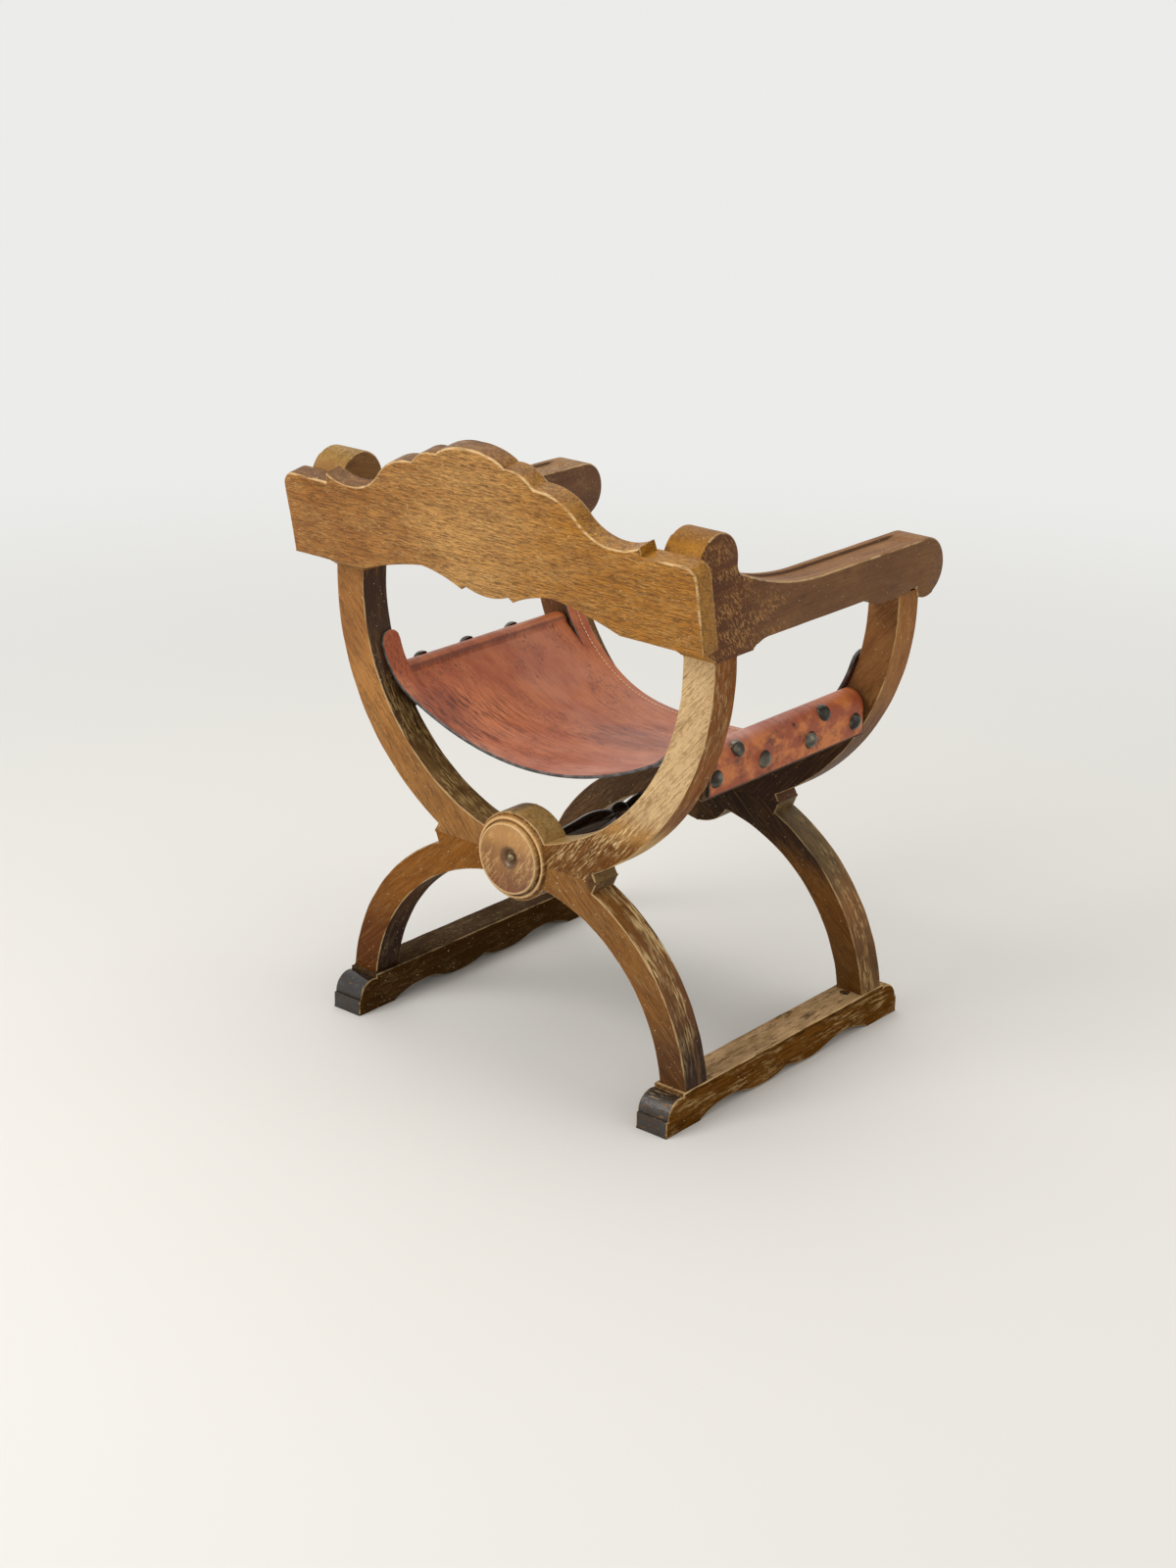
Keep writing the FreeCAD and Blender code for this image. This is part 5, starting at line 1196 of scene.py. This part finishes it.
# %% [markdown]
# ## Floor, light and camera
# A pale floor, an even white world and three large soft lamps light the chair at a plain
# level.  The camera stands where the photographer stood, behind the chair and to its
# right, a little above the arms.  Its lens is given by the photograph's own pixels: the
# focal length in pixels over the picture's width, times the sensor's width.

# %% The camera in numbers
CAMERA_TURN, CAMERA_RISE, CAMERA_ROLL = (math.radians(degrees) for degrees in (219.644, 20.421, 1.066))
CAMERA_DISTANCE = 3464.8 * MM
AIM_ACROSS, AIM_UP, AIM_HEIGHT = -44.04 * MM, -93.80 * MM, 420 * MM
FOCAL_PIXELS, PICTURE_WIDTH, SENSOR = 2755.3, 1200.0, 36.0

# %% Camera
back = Vector((math.sin(CAMERA_TURN) * math.cos(CAMERA_RISE), -math.cos(CAMERA_TURN) * math.cos(CAMERA_RISE),
               math.sin(CAMERA_RISE)))
right = Vector((0, 0, 1)).cross(back).normalized()
upward = back.cross(right)
rolled_right = right * math.cos(CAMERA_ROLL) + upward * math.sin(CAMERA_ROLL)
rolled_up = upward * math.cos(CAMERA_ROLL) - right * math.sin(CAMERA_ROLL)
aim = rolled_right * AIM_ACROSS + rolled_up * AIM_UP + Vector((0, middle_y, AIM_HEIGHT))
camera = into_scene("camera", bpy.data.cameras.new("camera"))
camera.matrix_world = (Matrix.Translation(aim + back * CAMERA_DISTANCE)
                       @ Matrix((rolled_right, rolled_up, back)).transposed().to_4x4())
camera.data.sensor_fit = "HORIZONTAL"
camera.data.sensor_width = SENSOR
camera.data.lens = FOCAL_PIXELS / PICTURE_WIDTH * SENSOR
bpy.context.scene.camera = camera
print("camera looks from", [round(v, 3) for v in back])

# %% What makes a backdrop
FLOOR_REACH = 40.0
GLOW_FROM, GLOW_FULL = 0.7, 3.2
PALE = "#ececea"
WORLD_STRENGTH = 0.62


def backdrop_seen(tree):
    """1 for the rays that look at the backdrop: from the camera, off a gloss or through glass."""
    ray = add(tree, "LightPath")
    away = total(tree, ray["Is Glossy Ray"], ray["Is Transmission Ray"])
    return add(tree, "Math", (ray["Is Camera Ray"], away), operation="ADD", use_clamp=True)[0]


# %% Floor
floor_mesh = bpy.data.meshes.new("floor")
floor_corners = FLOOR_REACH * np.array([(-1, -1, 0), (1, -1, 0), (1, 1, 0), (-1, 1, 0)])
floor_mesh.from_pydata(floor_corners.tolist(), [], [(0, 1, 2, 3)])
floor = into_scene("floor", floor_mesh)
floor_paint, floor_tree, floor_shader = new_material("pale_floor")
give(floor_tree, floor_shader, {"Base Color": "#e6e3dd", "Roughness": 0.9})
glow = add(floor_tree, "Emission", {"Color": PALE, "Strength": 1.0})[0]
apart = add(floor_tree, "VectorMath", (place_of(floor_tree)[0],), operation="LENGTH")["Value"]
seen_far = product(floor_tree, (apart, GLOW_FROM, GLOW_FULL), backdrop_seen(floor_tree))
give(floor_tree, floor_tree.nodes["Material Output"],
     {"Surface": add(floor_tree, "MixShader", (seen_far, floor_shader.outputs[0], glow))[0]})
floor_mesh.materials.append(floor_paint)
print("floor reaches", FLOOR_REACH, "m")

# %% World
world = bpy.data.worlds.new("even_white")
world.use_nodes = True
sky_tree = world.node_tree
sky_light = sky_tree.nodes["Background"]
give(sky_tree, sky_light, {"Color": "#f6f6f4", "Strength": WORLD_STRENGTH})
sky_seen = add(sky_tree, "Background", {"Color": PALE, "Strength": 1.0})[0]
give(sky_tree, sky_tree.nodes["World Output"],
     {"Surface": add(sky_tree, "MixShader", (backdrop_seen(sky_tree), sky_light.outputs[0], sky_seen))[0]})
bpy.context.scene.world = world
bpy.context.scene.view_settings.view_transform = "Standard"


# %% Lamps
LAMP_AIM = 0.45


def lamp(name, across, along, height, size, power):
    """A square soft lamp, placed by distance across and along the view, aimed at the seat."""
    lit = into_scene(name, bpy.data.lights.new(name, "AREA"))
    lit.data.energy = power
    lit.data.size = size
    level = Vector((back.x, back.y, 0)).normalized()
    lit.location = right * across + level * along + Vector((0, middle_y, height))
    towards_seat = lit.location - Vector((0, middle_y, LAMP_AIM))
    lit.rotation_euler = towards_seat.to_track_quat("Z", "Y").to_euler()
    print(name, power, "W")


lamp("window_left", -2.4, 1.6, 2.4, 1.8, 62.0)
lamp("fill_right", 2.6, 1.2, 1.6, 2.2, 12.0)
lamp("ceiling", 0.2, -0.8, 3.0, 2.4, 26.0)
